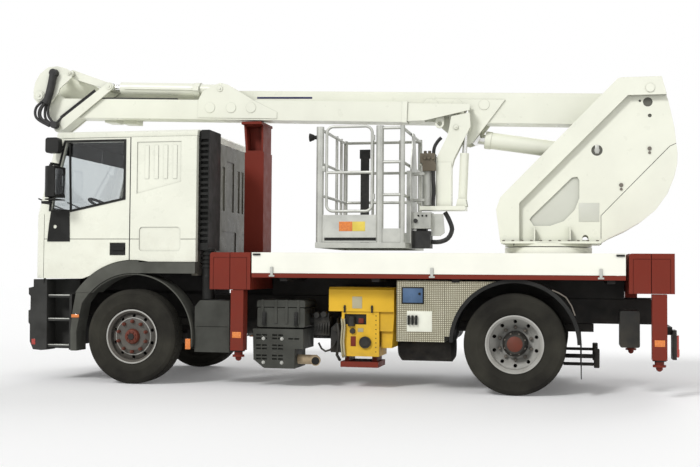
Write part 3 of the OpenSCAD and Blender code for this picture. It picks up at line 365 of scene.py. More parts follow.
def tyre_section(middle):
    """Radius and distance out round one tyre: bead, ringed side wall, and ribs with grooves."""
    wall = [(0.300, 0.105), (0.330, 0.128), (0.372, 0.135), (0.378, 0.138), (0.384, 0.136),
            (0.420, 0.140), (0.468, 0.137), (0.474, 0.139), (0.480, 0.136), (0.500, 0.130),
            (0.513, 0.118)]
    crown = []
    for low, high in reversed(tread_ribs):
        at_shoulder = max(abs(low), abs(high)) > 0.09
        edge = tyre_radius - shoulder_drop if at_shoulder else tyre_radius
        crown += [(edge - groove_depth, high), (edge, high - 0.003),
                  (edge, low + 0.003), (edge - groove_depth, low)]
    return [(r, middle + y) for r, y in wall + crown + [(r, -y) for r, y in reversed(wall)]]


rim_lip = [(0.299, 1.1745), (0.2995, 1.1775), (0.296, 1.1785), (0.285, 1.1765), (0.2835, 1.1745)]
disc_ring = [(0.196, 1.126), (0.200, 1.133), (0.207, 1.131), (0.211, 1.119)]
wheels = {
    # along: place from the rear axle; tyres: middle of each, out from the truck's middle plane;
    # lips, hub, steel: outlines of bright edges, hub cap and dark steel, as radius and place out;
    # bolts, nuts: count, radius of their circle, seat, size and height
    "front": {
        "along": 4.184,
        "tyres": (1.06,),
        "lips": (rim_lip, disc_ring),
        "hub": [(0.0, 1.194), (0.066, 1.194), (0.074, 1.189), (0.086, 1.153), (0.060, 1.146)],
        "steel": [(0.128, 1.040), (0.258, 1.040)],
        "bolts": (8, 0.052, 1.194, 0.010, 0.012),
        "nuts": (10, 0.1675, 1.149, 0.021, 0.034),
        "nut_finish": hub_paint,
    },
    "rear": {
        "along": 0.0,
        "tyres": (1.06, 0.735),
        "lips": (rim_lip,),
        "hub": [(0.0, 1.132), (0.070, 1.128), (0.088, 1.116), (0.090, 1.104)],
        "steel": [(0.086, 1.108), (0.104, 1.104), (0.132, 1.048), (0.132, 0.964)],
        "bolts": (8, 0.110, 1.094, 0.010, 0.012),
        "nuts": (10, 0.1675, 0.962, 0.021, 0.034),
        "nut_finish": dull_steel,
    },
}
for end, wheel in wheels.items():
    centre = from_axle(wheel["along"], 0.0, tyre_radius)
    for side, sign in (("left", 1.0), ("right", -1.0)):
        body = f"wheel_{end}_{side}"
        bm = bmesh.new()
        for middle in wheel["tyres"]:
            revolved(bm, tyre_section(middle), centre, sign, tread_steps, closed=True)
        cuts = []
        for face in bm.faces:
            at = face.calc_center_median() - centre
            on_tread = math.hypot(at.x, at.z) > 0.516
            on_shoulder = min(abs(abs(at.y) - middle) for middle in wheel["tyres"]) > 0.055
            turned = (math.atan2(at.z, at.x) % (2.0 * math.pi)) / (2.0 * math.pi)
            step = round(turned * tread_steps - 0.5) % tread_steps
            if on_tread and on_shoulder and step % steps_per_cut == 0:
                cuts.append(face)
        bmesh.ops.inset_individual(bm, faces=cuts, thickness=0.005, depth=-0.010,
                                   use_even_offset=True)
        tyre = add_piece(f"tyre_tread_{end}_{side}", bm, body, rubber)
        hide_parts(f"tyre_{end}_{side}")

        bm = bmesh.new()
        for outline in wheel["lips"]:
            revolved(bm, outline, centre, sign, 64)
        add_piece(f"rim_lip_{end}_{side}", bm, body, rim_paint)

        bm = bmesh.new()
        revolved(bm, wheel["hub"], centre, sign, 48)
        add_piece(f"hub_{end}_{side}", bm, body, hub_paint)

        bm = bmesh.new()
        revolved(bm, wheel["steel"], centre, sign, 48)
        if end == "front":
            cap = centre + Vector((0.0, sign * 1.193, 0.0))
            stud(bm, cap, (0.0, sign, 0.0), 0.036, 0.009, sides=24)
        add_piece(f"wheel_steel_{end}_{side}", bm, body, frame_paint)

        bm = bmesh.new()
        bolt_ring(bm, centre, sign, *wheel["bolts"], threaded=False)
        bolt_ring(bm, centre, sign, *wheel["nuts"], threaded=True)
        add_piece(f"wheel_nuts_{end}_{side}", bm, body, wheel["nut_finish"])

# Cab shell, doors and roof
# Pressed steel panels under white gloss paint, clean above and faintly dusty low down, with dark
# seams round the doors and painted shade in the waist groove and on the edges of the pressed
# panels. The back wall, behind the boom's rest, is coloured dark grey as painted shade.
cab_side = 1.150
cab_white = dusty_paint("cab_white", (0.815, 0.825, 0.71), (0.42, 0.38, 0.29), 1.0, 2.0,
                        rough=0.28, share=0.22)
groove_painted_shade = dusty_paint("groove_painted_shade", (0.30, 0.30, 0.25), (0.16, 0.145, 0.11), 1.0, 2.0,
                        rough=0.5, share=0.3)
back_wall_painted_shade = dusty_paint("cab_back_shade", (0.15, 0.146, 0.112), (0.055, 0.05, 0.038), 1.2, 2.6,
                        rough=0.3, share=0.7, gloss=0.25)


def on_waist_groove(x, y, z, n):
    """The groove that runs along the doors and walls under the windows."""
    return 0.0005 < cab_side - abs(y) < 0.0055 and 1.59 < z < 1.61


def on_panel_edge(x, y, z, n):
    """The edges of the panels pressed into the wall behind each door."""
    return 0.0001 < cab_side - abs(y) < 0.010 and abs(n.y) < 0.5 and x < 4.2


coat(cab_white, "cab_front", "cab_sides", "cab_roof", "door_left", "door_right")
# Painted shade: the waist groove and the walls of the pressed panels are coloured grey for the
# shade in them.
for name in ("cab_sides", "door_left", "door_right"):
    coat_where(groove_painted_shade, name, on_waist_groove)
    coat_where(groove_painted_shade, name, on_panel_edge)
# Painted shade: the back wall is coloured dark grey for the shade it stands in.
coat(back_wall_painted_shade, "cab_rear")

# Windows
# Flat toughened side glass and a curved laminated windscreen, faintly tinted, bonded in black
# rubber.
glass, tree, shader, place = finish("window_glass", 0.03)
shader.inputs["Transmission Weight"].default_value = 1.0
shader.inputs["IOR"].default_value = 1.45
patchy(tree, shader, place, 1.6, [(0.3, (0.735, 0.765, 0.775)), (0.7, (0.775, 0.800, 0.802))])
coat(glass, "windscreen", "door_glass_left", "door_glass_right")

# Door trim, mirrors and wipers
# Moulded black corner panels, window seals, handles and mirror housings on steel brackets, with
# two wiper arms parked low across the windscreen.


def moulded(name, colour, rough=0.6, grain=220.0, depth=0.25):
    """Moulded plastic: fine grain, a little faded and dusty."""
    made, tree, shader, place = finish(name, rough)
    shader.inputs["Specular IOR Level"].default_value = 0.15
    faded = tuple(c * 1.5 + 0.010 for c in colour)
    patchy(tree, shader, place, 4.0, [(0.35, colour), (0.75, faded)], detail=6.0)
    uneven(tree, shader, place, 7.0, rough - 0.12, rough + 0.12)
    raised(tree, shader, mottle(tree, place, grain, 3.0), depth, 0.0015)
    return made


def tube(bm, points, radius, sides=10):
    """Round bar or hose bent through points: a ring is drawn out from each point to the next."""
    points = [Vector(p) for p in points]
    way = (points[1] - points[0]).normalized()
    facing = way.to_track_quat("Z", "Y")
    stand = Matrix.Translation(points[0]) @ facing.to_matrix().to_4x4()
    ring = bmesh.ops.create_circle(bm, cap_ends=True, radius=radius, segments=sides,
                                   matrix=stand)["verts"]
    rim = [edge for edge in bm.edges if edge.verts[0] in ring and edge.verts[1] in ring]
    for index in range(1, len(points)):
        ahead_of = (points[min(index + 1, len(points) - 1)] - points[index - 1]).normalized()
        facing = way.rotation_difference(ahead_of) @ facing
        way = ahead_of
        onward = Matrix.Translation(points[index]) @ facing.to_matrix().to_4x4()
        drawn = bmesh.ops.extrude_edge_only(bm, edges=rim)["geom"]
        ring = [item for item in drawn if isinstance(item, bmesh.types.BMVert)]
        rim = [item for item in drawn if isinstance(item, bmesh.types.BMEdge)]
        bmesh.ops.transform(bm, matrix=onward @ stand.inverted(), verts=ring)
        stand = onward
    bmesh.ops.contextual_create(bm, geom=rim)
    bmesh.ops.recalc_face_normals(bm, faces=bm.faces)


def block(bm, x, y, z, soft=0.0):
    """Box between limits measured from the rear axle, its edges rounded by the radius soft."""
    middle = from_axle(sum(x) / 2.0, sum(y) / 2.0, sum(z) / 2.0)
    size = Matrix.Diagonal((abs(x[1] - x[0]), abs(y[1] - y[0]), abs(z[1] - z[0]), 1.0))
    made = bmesh.ops.create_cube(bm, size=1.0, matrix=Matrix.Translation(middle) @ size)
    if soft > 0.0:
        edges = list({edge for vert in made["verts"] for edge in vert.link_edges})
        bmesh.ops.bevel(bm, geom=edges, offset=soft, affect="EDGES", segments=2, profile=0.5,
                        material=-1)


def twin_blocks(bm, x, y, z, soft=0.0):
    """The same box on the truck's left and right."""
    for sign in (1.0, -1.0):
        block(bm, x, (sign * y[0], sign * y[1]), z, soft)


trim_black = moulded("trim_black", (0.013, 0.013, 0.012), rough=0.48)
coat(trim_black, "door_trim_left", "door_trim_right")
for name in ("door_left", "door_right"):
    # the upright bar in the window
    coat_where(trim_black, name,
               lambda x, y, z, n: 4.950 < x < 4.998 and 0.011 < cab_side - abs(y) < 0.031)
bm = bmesh.new()
twin_blocks(bm, (4.2325, 4.2395), (1.090, 1.1465), (1.350, 2.735))
twin_blocks(bm, (5.2725, 5.2765), (1.090, 1.1400), (1.100, 1.880))
add_piece("door_seals", bm, "chassis", trim_black)
mirror_glass, tree, shader, place = finish("mirror_glass", 0.05, 1.0)
patchy(tree, shader, place, 12.0, [(0.3, (0.62, 0.64, 0.65)), (0.7, (0.72, 0.74, 0.75))])
for side, sign in (("left", 1.0), ("right", -1.0)):
    bm = bmesh.new()
    block(bm, (4.9945, 4.9978), (sign * 1.222, sign * 1.438), (2.085, 2.375), 0.001)
    add_piece(f"mirror_glass_{side}", bm, f"door_{side}", mirror_glass)

screen_lean = math.radians(14.0)
screen_foot = (5.450, 1.880)


def on_screen(out, y, up):
    """A point on the windscreen's own axes: out from its face, across, and up from its foot."""
    c, s = math.cos(screen_lean), math.sin(screen_lean)
    return from_axle(screen_foot[0] + out * c - up * s, y, screen_foot[1] + out * s + up * c)


bm = bmesh.new()
for pivot, tip in ((-0.62, 0.10), (0.10, 0.80)):
    square_out = on_screen(1.0, pivot, 0.0) - on_screen(0.0, pivot, 0.0)
    stud(bm, on_screen(-0.004, pivot, 0.035), square_out, 0.022, 0.030)
    elbow = on_screen(0.026, (pivot + tip) / 2.0, 0.110)
    tube(bm, [on_screen(0.020, pivot, 0.035), elbow, on_screen(0.014, tip, 0.150)], 0.007)
    tube(bm, [on_screen(0.006, pivot + 0.18, 0.085), on_screen(0.006, tip + 0.24, 0.190)], 0.008)
add_piece("wipers", bm, "chassis", trim_black)

# Seats, dashboard, steering wheel and lining
# Woven seat covers over foam and a grained dashboard behind the wheel, with dark felt on the
# doors, walls and ceiling and two visors at the top of the windscreen.
lining_y = 1.0805
cab_fabric = moulded("seat_fabric", (0.030, 0.031, 0.033), rough=0.85, grain=400.0, depth=0.5)
coat(cab_fabric, "interior")
coat_where(cab_fabric, "cab_roof", lambda x, y, z, n: n.z < -0.9)
coat_where(cab_fabric, "cab_rear", lambda x, y, z, n: n.x > 0.9)
for name in ("cab_sides", "door_left", "door_right"):
    coat_where(cab_fabric, name, lambda x, y, z, n: abs(y) < lining_y)
bm = bmesh.new()
for limits in ((-0.985, -0.015), (0.015, 0.985)):
    block(bm, (5.120, 5.140), limits, (2.568, 2.738), 0.008)
add_piece("sun_visors", bm, "chassis", cab_fabric)

# Bumper, steps and wheel arches
# Injection-moulded panels in dark grey plastic, screwed to the cab and chassis. The three steps
# have worn aluminium edges.
step_tops = (0.408, 0.703, 0.968)
tread_bars = [4.960 + 0.037 * k for k in range(7)]
bumper_grey = moulded("bumper_grey", (0.026, 0.026, 0.024), rough=0.62)
arch_grey = moulded("arch_grey", (0.066, 0.067, 0.057), rough=0.62)
coat(bumper_grey, "bumper_steps")
coat(arch_grey, "wheel_arches")
alloy, tree, shader, place = finish("basket_alloy", 0.42, 0.6)
patchy(tree, shader, place, 5.0, [(0.3, (0.40, 0.405, 0.375)), (0.7, (0.52, 0.525, 0.485))],
       detail=6.0)
uneven(tree, shader, place, 30.0, 0.34, 0.55)
raised(tree, shader, mottle(tree, place, 160.0, 2.0), 0.06, 0.001)
for side, sign in (("left", 1.0), ("right", -1.0)):
    bm = bmesh.new()
    for top in step_tops:
        block(bm, (4.945, 5.228), (sign * 1.088, sign * 1.114), (top - 0.006, top + 0.005), 0.002)
        for x in tread_bars:
            block(bm, (x, x + 0.018), (sign * 0.940, sign * 1.080), (top, top + 0.004), 0.0015)
    add_piece(f"step_edges_{side}", bm, "chassis", alloy)

# Lamps and reflectors
# Clear headlamps, red and amber lenses at the back, amber side markers and plain reflectors, all
# clear or coloured plastic.


def lens(name, light, deep):
    """Coloured plastic with fine ribs under a smooth face."""
    made, tree, shader, place = finish(name, 0.14)
    shader.inputs["Coat Weight"].default_value = 0.6
    patchy(tree, shader, place, 70.0, [(0.35, deep), (0.7, light)])
    ribs = tree.nodes.new("ShaderNodeTexWave")
    ribs.inputs["Scale"].default_value = 40.0
    ribs.bands_direction = "Y"
    tree.links.new(place, ribs.inputs["Vector"])
    raised(tree, shader, ribs.outputs["Fac"], 0.25, 0.002, edge=0.003)
    return made


red_lens = lens("red_lens", (0.46, 0.035, 0.018), (0.30, 0.020, 0.012))
amber_lens = lens("amber_lens", (0.78, 0.24, 0.03), (0.60, 0.15, 0.02))
clear_lens = lens("clear_lens", (0.66, 0.68, 0.68), (0.45, 0.47, 0.48))
coat(red_lens, "lamps")
coat_where(clear_lens, "lamps", lambda x, y, z, n: x > 0.0)
bm = bmesh.new()
# beside the steps, behind the front wheels, and at the tail
twin_blocks(bm, (4.823, 4.915), (1.158, 1.172), (0.720, 0.756), 0.004)
twin_blocks(bm, (3.505, 3.565), (1.146, 1.160), (0.395, 0.510), 0.004)
twin_blocks(bm, (-1.628, -1.619), (0.875, 1.045), (0.430, 0.500), 0.003)
add_piece("marker_lamps", bm, "chassis", amber_lens)
bm = bmesh.new()
twin_blocks(bm, (5.372, 5.418), (1.122, 1.134), (0.405, 0.470), 0.004)
add_piece("bumper_reflectors", bm, "chassis", red_lens)

# Under the cab and deck
# Splash guards beside the engine, spacers over the rails, an air tank and the ends of the rear
# springs, in the same black as the frame.
to_front = (1.0, 0.0, 0.0)
to_back = (-1.0, 0.0, 0.0)
tank_back = from_axle(0.720, 0.410, 0.435)
tank_front = from_axle(1.280, 0.410, 0.435)
tank_radius = 0.165
bm = bmesh.new()
# splash guards and spacers
twin_blocks(bm, (3.450, 5.150), (0.440, 0.450), (1.020, 1.300), 0.003)
twin_blocks(bm, (2.700, 3.200), (0.340, 0.350), (0.900, 1.120), 0.003)
# spring leaves and their hangers
twin_blocks(bm, (-0.840, -0.480), (0.460, 0.540), (0.362, 0.392), 0.008)
twin_blocks(bm, (-0.800, -0.480), (0.460, 0.540), (0.272, 0.302), 0.008)
twin_blocks(bm, (-0.860, -0.800), (0.450, 0.550), (0.250, 0.450), 0.010)
# air tank with its two ends
stud(bm, tank_back, to_front, tank_radius, 0.560, sides=40, top=1.0)
stud(bm, tank_front, to_front, tank_radius, 0.035, sides=40, top=0.7)
stud(bm, tank_back, to_back, tank_radius, 0.035, sides=40, top=0.7)
add_piece("under_fittings", bm, "chassis", frame_paint)

# Battery box, exhaust guard, fuel tank and air intake
# A black plastic battery case with strap latches stands on the slotted steel guard of the
# silencer, whose rusty tail pipe points back. A ribbed duct climbs behind the cab.
to_left = (0.0, 1.0, 0.0)
to_right = (0.0, -1.0, 0.0)
to_top = (0.0, 0.0, 1.0)
box_grey = moulded("box_grey", (0.040, 0.041, 0.035), rough=0.55)
duct_black = moulded("duct_black", (0.011, 0.011, 0.010), rough=0.42)
pump_black = dusty_paint("pump_black", (0.013, 0.013, 0.012), (0.09, 0.075, 0.05), 0.3, 1.0,
                         rough=0.45, share=0.5, gloss=0.3)
rust, tree, shader, place = finish("rusty_pipe", 0.8)
patchy(tree, shader, place, 14.0, [(0.3, (0.24, 0.17, 0.10)), (0.7, (0.46, 0.37, 0.24))],
       detail=8.0)
raised(tree, shader, mottle(tree, place, 80.0, 6.0), 0.3, 0.003)


def on_duct(x, y, z, n):
    return x > 3.25 and z > 0.931


def on_tail_pipe(x, y, z, n):
    return 2.12 < x < 2.342 and math.hypot(y - 0.95, z - 0.30) < 0.0585


def on_pumps(x, y, z, n):
    """The dark hardware between the battery box and the engine."""
    return 1.84 < x < 2.242 and 0.5 < y < 0.93


def on_rear_box(x, y, z, n):
    return x < -1.0


coat(box_grey, "side_boxes")
coat_where(duct_black, "side_boxes", on_duct)
coat_where(rust, "side_boxes", on_tail_pipe)
coat_where(pump_black, "side_boxes", on_pumps)
coat_where(pump_black, "side_boxes", on_rear_box)
tail_run = ((2.180, 0.950, 0.300), (2.150, 0.962, 0.298), (2.132, 0.990, 0.296),
            (2.124, 1.040, 0.293))
bm = bmesh.new()
tube(bm, [from_axle(*at) for at in tail_run], 0.053, sides=20)
add_piece("tail_pipe", bm, "chassis", rust)
bm = bmesh.new()
stud(bm, from_axle(2.1255, 1.032, 0.2935), (-0.16, 1.0, -0.06), 0.046, 0.010, sides=24)
add_piece("tail_pipe_mouth", bm, "chassis", duct_black)
bm = bmesh.new()
for x in (2.683, 2.326):
    block(bm, (x - 0.020, x + 0.020), (1.098, 1.114), (0.665, 0.815), 0.004)
    block(bm, (x - 0.013, x + 0.013), (1.112, 1.124), (0.690, 0.760), 0.004)
add_piece("battery_latches", bm, "chassis", duct_black)
bm = bmesh.new()
for x in (1.150, 2.270):
    block(bm, (x - 0.025, x + 0.025), (-1.1455, -1.1395), (0.440, 1.052), 0.002)
    block(bm, (x - 0.025, x + 0.025), (-1.1455, -0.620), (1.0595, 1.0655), 0.002)
    stud(bm, from_axle(x, -1.1455, 0.500), to_right, 0.016, 0.012, sides=6)
# filler neck and cap
stud(bm, from_axle(2.500, -0.760, 1.0590), to_top, 0.058, 0.030, sides=32)
stud(bm, from_axle(2.500, -0.760, 1.0890), to_top, 0.050, 0.016, sides=12)
add_piece("fuel_tank_straps", bm, "chassis", alloy)
bm = bmesh.new()
for x in (2.689, 2.483):
    for z in (0.527, 0.270):
        stud(bm, from_axle(x, 1.104, z), to_left, 0.020, 0.003, sides=24)
        stud(bm, from_axle(x, 1.107, z), to_left, 0.012, 0.010, sides=6)
add_piece("guard_bolts", bm, "chassis", alloy)

# Auxiliary engine
# A small diesel engine under a yellow sheet hood, with its pump, filters and pipes, on a red
# rail.
oily_dust = (0.10, 0.08, 0.05)
engine_yellow = dusty_paint("engine_yellow", (0.78, 0.47, 0.030), oily_dust, 0.2, 1.0,
                            rough=0.36, share=0.45, gloss=0.25)
oxide_red = dusty_paint("oxide_red", (0.180, 0.026, 0.015), (0.10, 0.040, 0.028), 0.2, 1.5,
                        rough=0.45, share=0.35, gloss=0.15)
dull_cream = dusty_paint("dull_cream", (0.46, 0.42, 0.27), oily_dust, 0.2, 1.0,
                         rough=0.5, share=0.8)


def on_engine_rail(x, y, z, n):
    return z < 0.3515


def on_pulley(x, y, z, n):
    return y > 0.9855 and z < 0.60


def in_engine_recess(x, y, z, n):
    return 1.575 < x < 1.825 and 0.955 < y < 0.9845 and 0.68 < z < 0.81


coat(engine_yellow, "aux_engine")
coat_where(oxide_red, "aux_engine", on_engine_rail)
coat_where(pump_black, "aux_engine", on_pulley)
coat_where(pump_black, "aux_engine", in_engine_recess)
fuel_run = ((1.915, 0.86, 0.740), (1.900, 0.97, 0.690), (1.880, 0.995, 0.600),
            (1.885, 0.995, 0.480), (1.900, 0.985, 0.360), (1.880, 0.93, 0.300))
oil_run = ((2.120, 0.92, 0.480), (2.085, 0.93, 0.420), (2.040, 0.94, 0.392),
           (1.985, 0.94, 0.408), (1.945, 0.93, 0.455), (1.930, 0.90, 0.500))
bm = bmesh.new()
# hood catches
for x in (1.814, 1.516):
    block(bm, (x - 0.010, x + 0.010), (0.999, 1.010), (0.815, 0.895), 0.003)
    stud(bm, from_axle(x, 1.010, 0.870), to_left, 0.012, 0.010, sides=12)
# knob, pulley cap, filter and rivets
stud(bm, from_axle(1.728, 0.984, 0.619), to_left, 0.030, 0.028, sides=24)
stud(bm, from_axle(1.590, 1.013, 0.500), to_left, 0.050, 0.008, sides=32, top=0.8)
stud(bm, from_axle(1.742, 0.984, 0.672), to_top, 0.040, 0.105, sides=24, top=1.0)
for k in range(9):
    stud(bm, from_axle(1.475, 0.984, 0.400 + 0.048 * k), to_left, 0.006, 0.004, sides=8)
# hoses, then the ribs and ports of the pump
tube(bm, [from_axle(*at) for at in fuel_run], 0.016)
tube(bm, [from_axle(*at) for at in oil_run], 0.011)
for k in range(6):
    stud(bm, from_axle(2.000 + 0.030 * k, 0.810, 0.640), to_front, 0.120 - 0.004 * k, 0.010,
         sides=28, top=1.0)
for x, z in ((1.925, 0.640), (2.060, 0.790), (2.140, 0.780)):
    stud(bm, from_axle(x, 0.890, z), to_left, 0.034, 0.060, sides=20)
add_piece("engine_fittings", bm, "chassis", pump_black)
bm = bmesh.new()
for x, off in ((1.840, 0.0), (1.812, 0.012)):
    pipe_run = ((x + 0.02, 0.93, 0.760), (x + 0.01, 0.985, 0.740), (x, 0.998 + off, 0.660),
                (x + 0.012, 0.998 + off, 0.500), (x, 0.995 + off, 0.370), (x, 0.95, 0.335))
    tube(bm, [from_axle(*at) for at in pipe_run], 0.011)
# blank plates
block(bm, (1.625, 1.732), (0.998, 1.003), (0.862, 0.988), 0.001)
block(bm, (1.612, 1.672), (0.984, 0.988), (0.610, 0.650), 0.001)
add_piece("engine_pipes", bm, "chassis", dull_cream)
bm = bmesh.new()
block(bm, (1.612, 1.668), (0.962, 0.976), (0.700, 0.756), 0.003)
block(bm, (1.694, 1.750), (0.984, 0.988), (0.456, 0.562), 0.001)
add_piece("engine_red_parts", bm, "chassis", oxide_red)

# Tool locker
# Folded aluminium sheet with a raised pattern, carried on to the mudguard by a flat sheet. It
# holds the ground controls: a blue instrument panel and a white plate with three levers.
locker_face = 1.203
sheet_depth = 0.030
guard_radius = 0.668
tread_plate, tree, shader, place = finish("tread_plate", 0.42, 0.55)
pattern = []
for way in ("X", "Z"):
    bars = tree.nodes.new("ShaderNodeTexWave")
    bars.inputs["Scale"].default_value = 16.0
    bars.bands_direction = way
    tree.links.new(place, bars.inputs["Vector"])
    pattern.append(between(tree, bars.outputs["Fac"], 0.15, 0.6))
proud = product(tree, *pattern)
sunk = between(tree, proud, 0.0, 1.0, 1.0, 0.0)
tone = shades(tree, mottle(tree, place, 6.0, 6.0),
              [(0.3, (0.52, 0.50, 0.37)), (0.7, (0.72, 0.70, 0.56))])
tree.links.new(mixed(tree, sunk, tone, (0.20, 0.18, 0.12)), shader.inputs["Base Color"])
raised(tree, shader, proud, 0.8, 0.004)
coat(tread_plate, "tool_locker")
outline = [(0.714, 1.165), (0.714, 0.590)]
guard_angles = range(6, 75, 4)
for a in guard_angles:
    outline.append((guard_radius * math.cos(math.radians(a)),
                    tyre_radius + guard_radius * math.sin(math.radians(a))))
bm = bmesh.new()
sheet = bm.faces.new([bm.verts.new(from_axle(x, locker_face, z)) for x, z in outline])
drawn = bmesh.ops.extrude_face_region(bm, geom=[sheet])["geom"]
bmesh.ops.translate(bm, vec=(0.0, -sheet_depth, 0.0),
                    verts=[item for item in drawn if isinstance(item, bmesh.types.BMVert)])
bmesh.ops.recalc_face_normals(bm, faces=bm.faces)
add_piece("locker_end_sheet", bm, "chassis", tread_plate)
panel_blue = moulded("panel_blue", (0.060, 0.105, 0.185), rough=0.35, grain=300.0, depth=0.1)
bm = bmesh.new()
block(bm, (0.940, 1.148), (1.204, 1.219), (0.937, 1.087), 0.003)
add_piece("instrument_panel", bm, "chassis", panel_blue)
bm = bmesh.new()
# frame of the panel, levers and knob
block(bm, (0.928, 1.160), (1.204, 1.214), (0.925, 1.099), 0.003)
for x in (1.085, 1.045, 1.005):
    block(bm, (x - 0.010, x + 0.010), (1.209, 1.245), (0.708, 0.806), 0.004)
stud(bm, from_axle(0.972, 1.219, 1.030), to_left, 0.014, 0.010)
add_piece("locker_levers", bm, "chassis", duct_black)
pale_dust = (0.40, 0.36, 0.28)
steel_white = dusty_paint("steel_white", (0.825, 0.835, 0.72), pale_dust, 0.9, 1.5,
                          rough=0.32, share=0.12)
bm = bmesh.new()
block(bm, (0.843, 1.106), (1.204, 1.210), (0.637, 0.850), 0.002)
add_piece("lever_plate", bm, "chassis", steel_white)

# Rear mudguards
# Half-round moulded guards with a rolled edge, a steel stay and a rubber flap behind each wheel.
coat(trim_black, "rear_mudguards")
stay_run = ((-0.378, 1.083), (-0.450, 1.052), (-0.517, 1.010), (-0.572, 0.925), (-0.607, 0.828))
bm = bmesh.new()
for sign in (1.0, -1.0):
    tube(bm, [from_axle(x, sign * 1.214, z) for x, z in stay_run], 0.007)
add_piece("mudguard_stays", bm, "chassis", dull_steel)

# Platform deck, subframe and boom rest
# White folded drop sides along a plain deck, on a welded red steel subframe that carries the
# outrigger boxes and the boom's rest.
deck_side = 1.2502
deck_white = dusty_paint("deck_white", (0.90, 0.90, 0.80), pale_dust, 0.9, 1.5,
                         rough=0.4, share=0.10)


def on_deck_latch(x, y, z, n):
    return abs(y) > deck_side


def on_deck_corner(x, y, z, n):
    return abs(y) > deck_side and z > 1.40


def under_deck(x, y, z, n):
    """The rails and cross bars between the red edges, black as painted shade under the deck."""
    return -1.105 < x < 2.787 and abs(y) < 1.2145 and z < 1.2285


def on_tail_bar(x, y, z, n):
    """The bar behind the rear outriggers that carries the lamps."""
    return x < -1.452 and z < 0.77


coat(deck_white, "deck")
coat(oxide_red, "subframe")
coat_where(alloy, "deck", on_deck_latch)
coat_where(frame_paint, "deck", on_deck_corner)
# Painted shade: the red subframe is coloured frame black where it lies under the deck.
coat_where(frame_paint, "subframe", under_deck)
coat_where(frame_paint, "subframe", on_tail_bar)

# Outriggers
# Red square jack tubes on sliding beams, with legs of the same red, round feet, a black seal
# round each leg and a plain amber reflector on each tube.
jacks = [
    # corner, place along the truck, side
    ("front_left", 2.948, 1.0), ("front_right", 3.108, -1.0),
    ("rear_left", -1.424, 1.0), ("rear_right", -1.264, -1.0),
]
for corner, x, sign in jacks:
    coat(oxide_red, f"beam_{corner}", f"leg_{corner}")
    bm = bmesh.new()
    block(bm, (x - 0.050, x + 0.050), (sign * 1.2415, sign * 1.2450), (0.535, 0.600), 0.001)
    add_piece(f"jack_reflector_{corner}", bm, f"outrigger_beam_{corner}", amber_lens)
    bm = bmesh.new()
    stud(bm, from_axle(x, sign * 1.1705, 0.388), to_top, 0.068, 0.014, sides=32, top=1.0)
    add_piece(f"jack_seal_{corner}", bm, f"outrigger_beam_{corner}", duct_black)

# Turret
# Welded side plates on the slew ring, with a raised front strip, a light grey panel behind the
# window in each plate, a bolted foot and a rounded cover over the counterweight.
panel_grey = dusty_paint("panel_grey", (0.62, 0.63, 0.555), pale_dust, 0.9, 1.5,
                         rough=0.4, share=0.1)
strip_wall_painted_shade = dusty_paint("strip_wall_painted_shade", (0.44, 0.445, 0.38), pale_dust, 0.9, 1.5,
                         rough=0.4, share=0.1)
pin_hole_shade_and_seam = dusty_paint("pin_hole_shade_and_seam", (0.11, 0.11, 0.09), (0.05, 0.05, 0.04), 0.9, 1.5,
                        rough=0.6, share=0.1)


def on_recess_panel(x, y, z, n):
    """The panel set back behind the window in each side plate."""
    return n.y * y > 0.0 and abs(n.y) > 0.9 and abs(abs(y) - 0.300) < 0.0015


def under_front_strip(x, y, z, n):
    """The narrow walls that carry the raised strip, where they face back or down."""
    return abs(n.y) < 0.3 and 0.322 < abs(y) < 0.394 and n.x < 0.05 and n.z < 0.05


def in_plate_hole(x, y, z, n):
    """The floors of the round sinkings over the pins, and of the cover's seam."""
    return n.y * y > 0.0 and 0.3095 < abs(y) < 0.3185


coat(steel_white, "turret")
coat_where(panel_grey, "turret", on_recess_panel)
# Painted shade: the walls under the raised strip are coloured darker for the shade on them.
coat_where(strip_wall_painted_shade, "turret", under_front_strip)
# Painted shade on the floors of the sinkings over the pins; in the cover's seam the dark is the
# joint line.
coat_where(pin_hole_shade_and_seam, "turret", in_plate_hole)
bm = bmesh.new()
for sign in (1.0, -1.0):
    for k in range(11):
        stud(bm, from_axle(-0.840 + 0.100 * k, sign * 0.448, 1.600), to_top, 0.017, 0.013, sides=6)
    for x, z in ((-1.392, 2.606), (-1.094, 2.214)):
        stud(bm, from_axle(x, sign * 0.321, z), (0.0, sign, 0.0), 0.022, 0.012, sides=20)
        stud(bm, from_axle(x, sign * 0.321, z - 0.045), (0.0, sign, 0.0), 0.015, 0.010, sides=20)
add_piece("turret_bolts", bm, "turret", dull_steel)
bm = bmesh.new()
twin_blocks(bm, (-0.862, -0.645), (0.3215, 0.3245), (1.815, 2.020), 0.001)
add_piece("turret_plates", bm, "turret", panel_grey)
bm = bmesh.new()
twin_blocks(bm, (-0.862, -0.818), (0.3165, 0.3235), (2.560, 2.655), 0.004)
for sign in (1.0, -1.0):
    stud(bm, from_axle(-0.839, sign * 0.3165, 2.596), (0.0, sign, 0.0), 0.030, 0.004, sides=24)
add_piece("lift_pin_keepers", bm, "turret", alloy)

# Booms, links and their pins
# Folded steel boxes with round plugs welded over the inspection holes. Each pin has a keeper disc
# with a bolt.
boom_tilt = math.radians(2.1)
boom_pivot = (-1.375, 3.112)


def on_boom(u, y, w):
    """A point on the folded booms' axes: along from the main pivot, across, square to them."""
    c, s = math.cos(boom_tilt), math.sin(boom_tilt)
    return from_axle(boom_pivot[0] + u * c - w * s, y, boom_pivot[1] + u * s + w * c)


def along_boom(x, z):
    """How far a point of the side view lies along the folded booms, and square to them."""
    c, s = math.cos(boom_tilt), math.sin(boom_tilt)
    x, z = x - boom_pivot[0], z - boom_pivot[1]
    return x * c + z * s, z * c - x * s


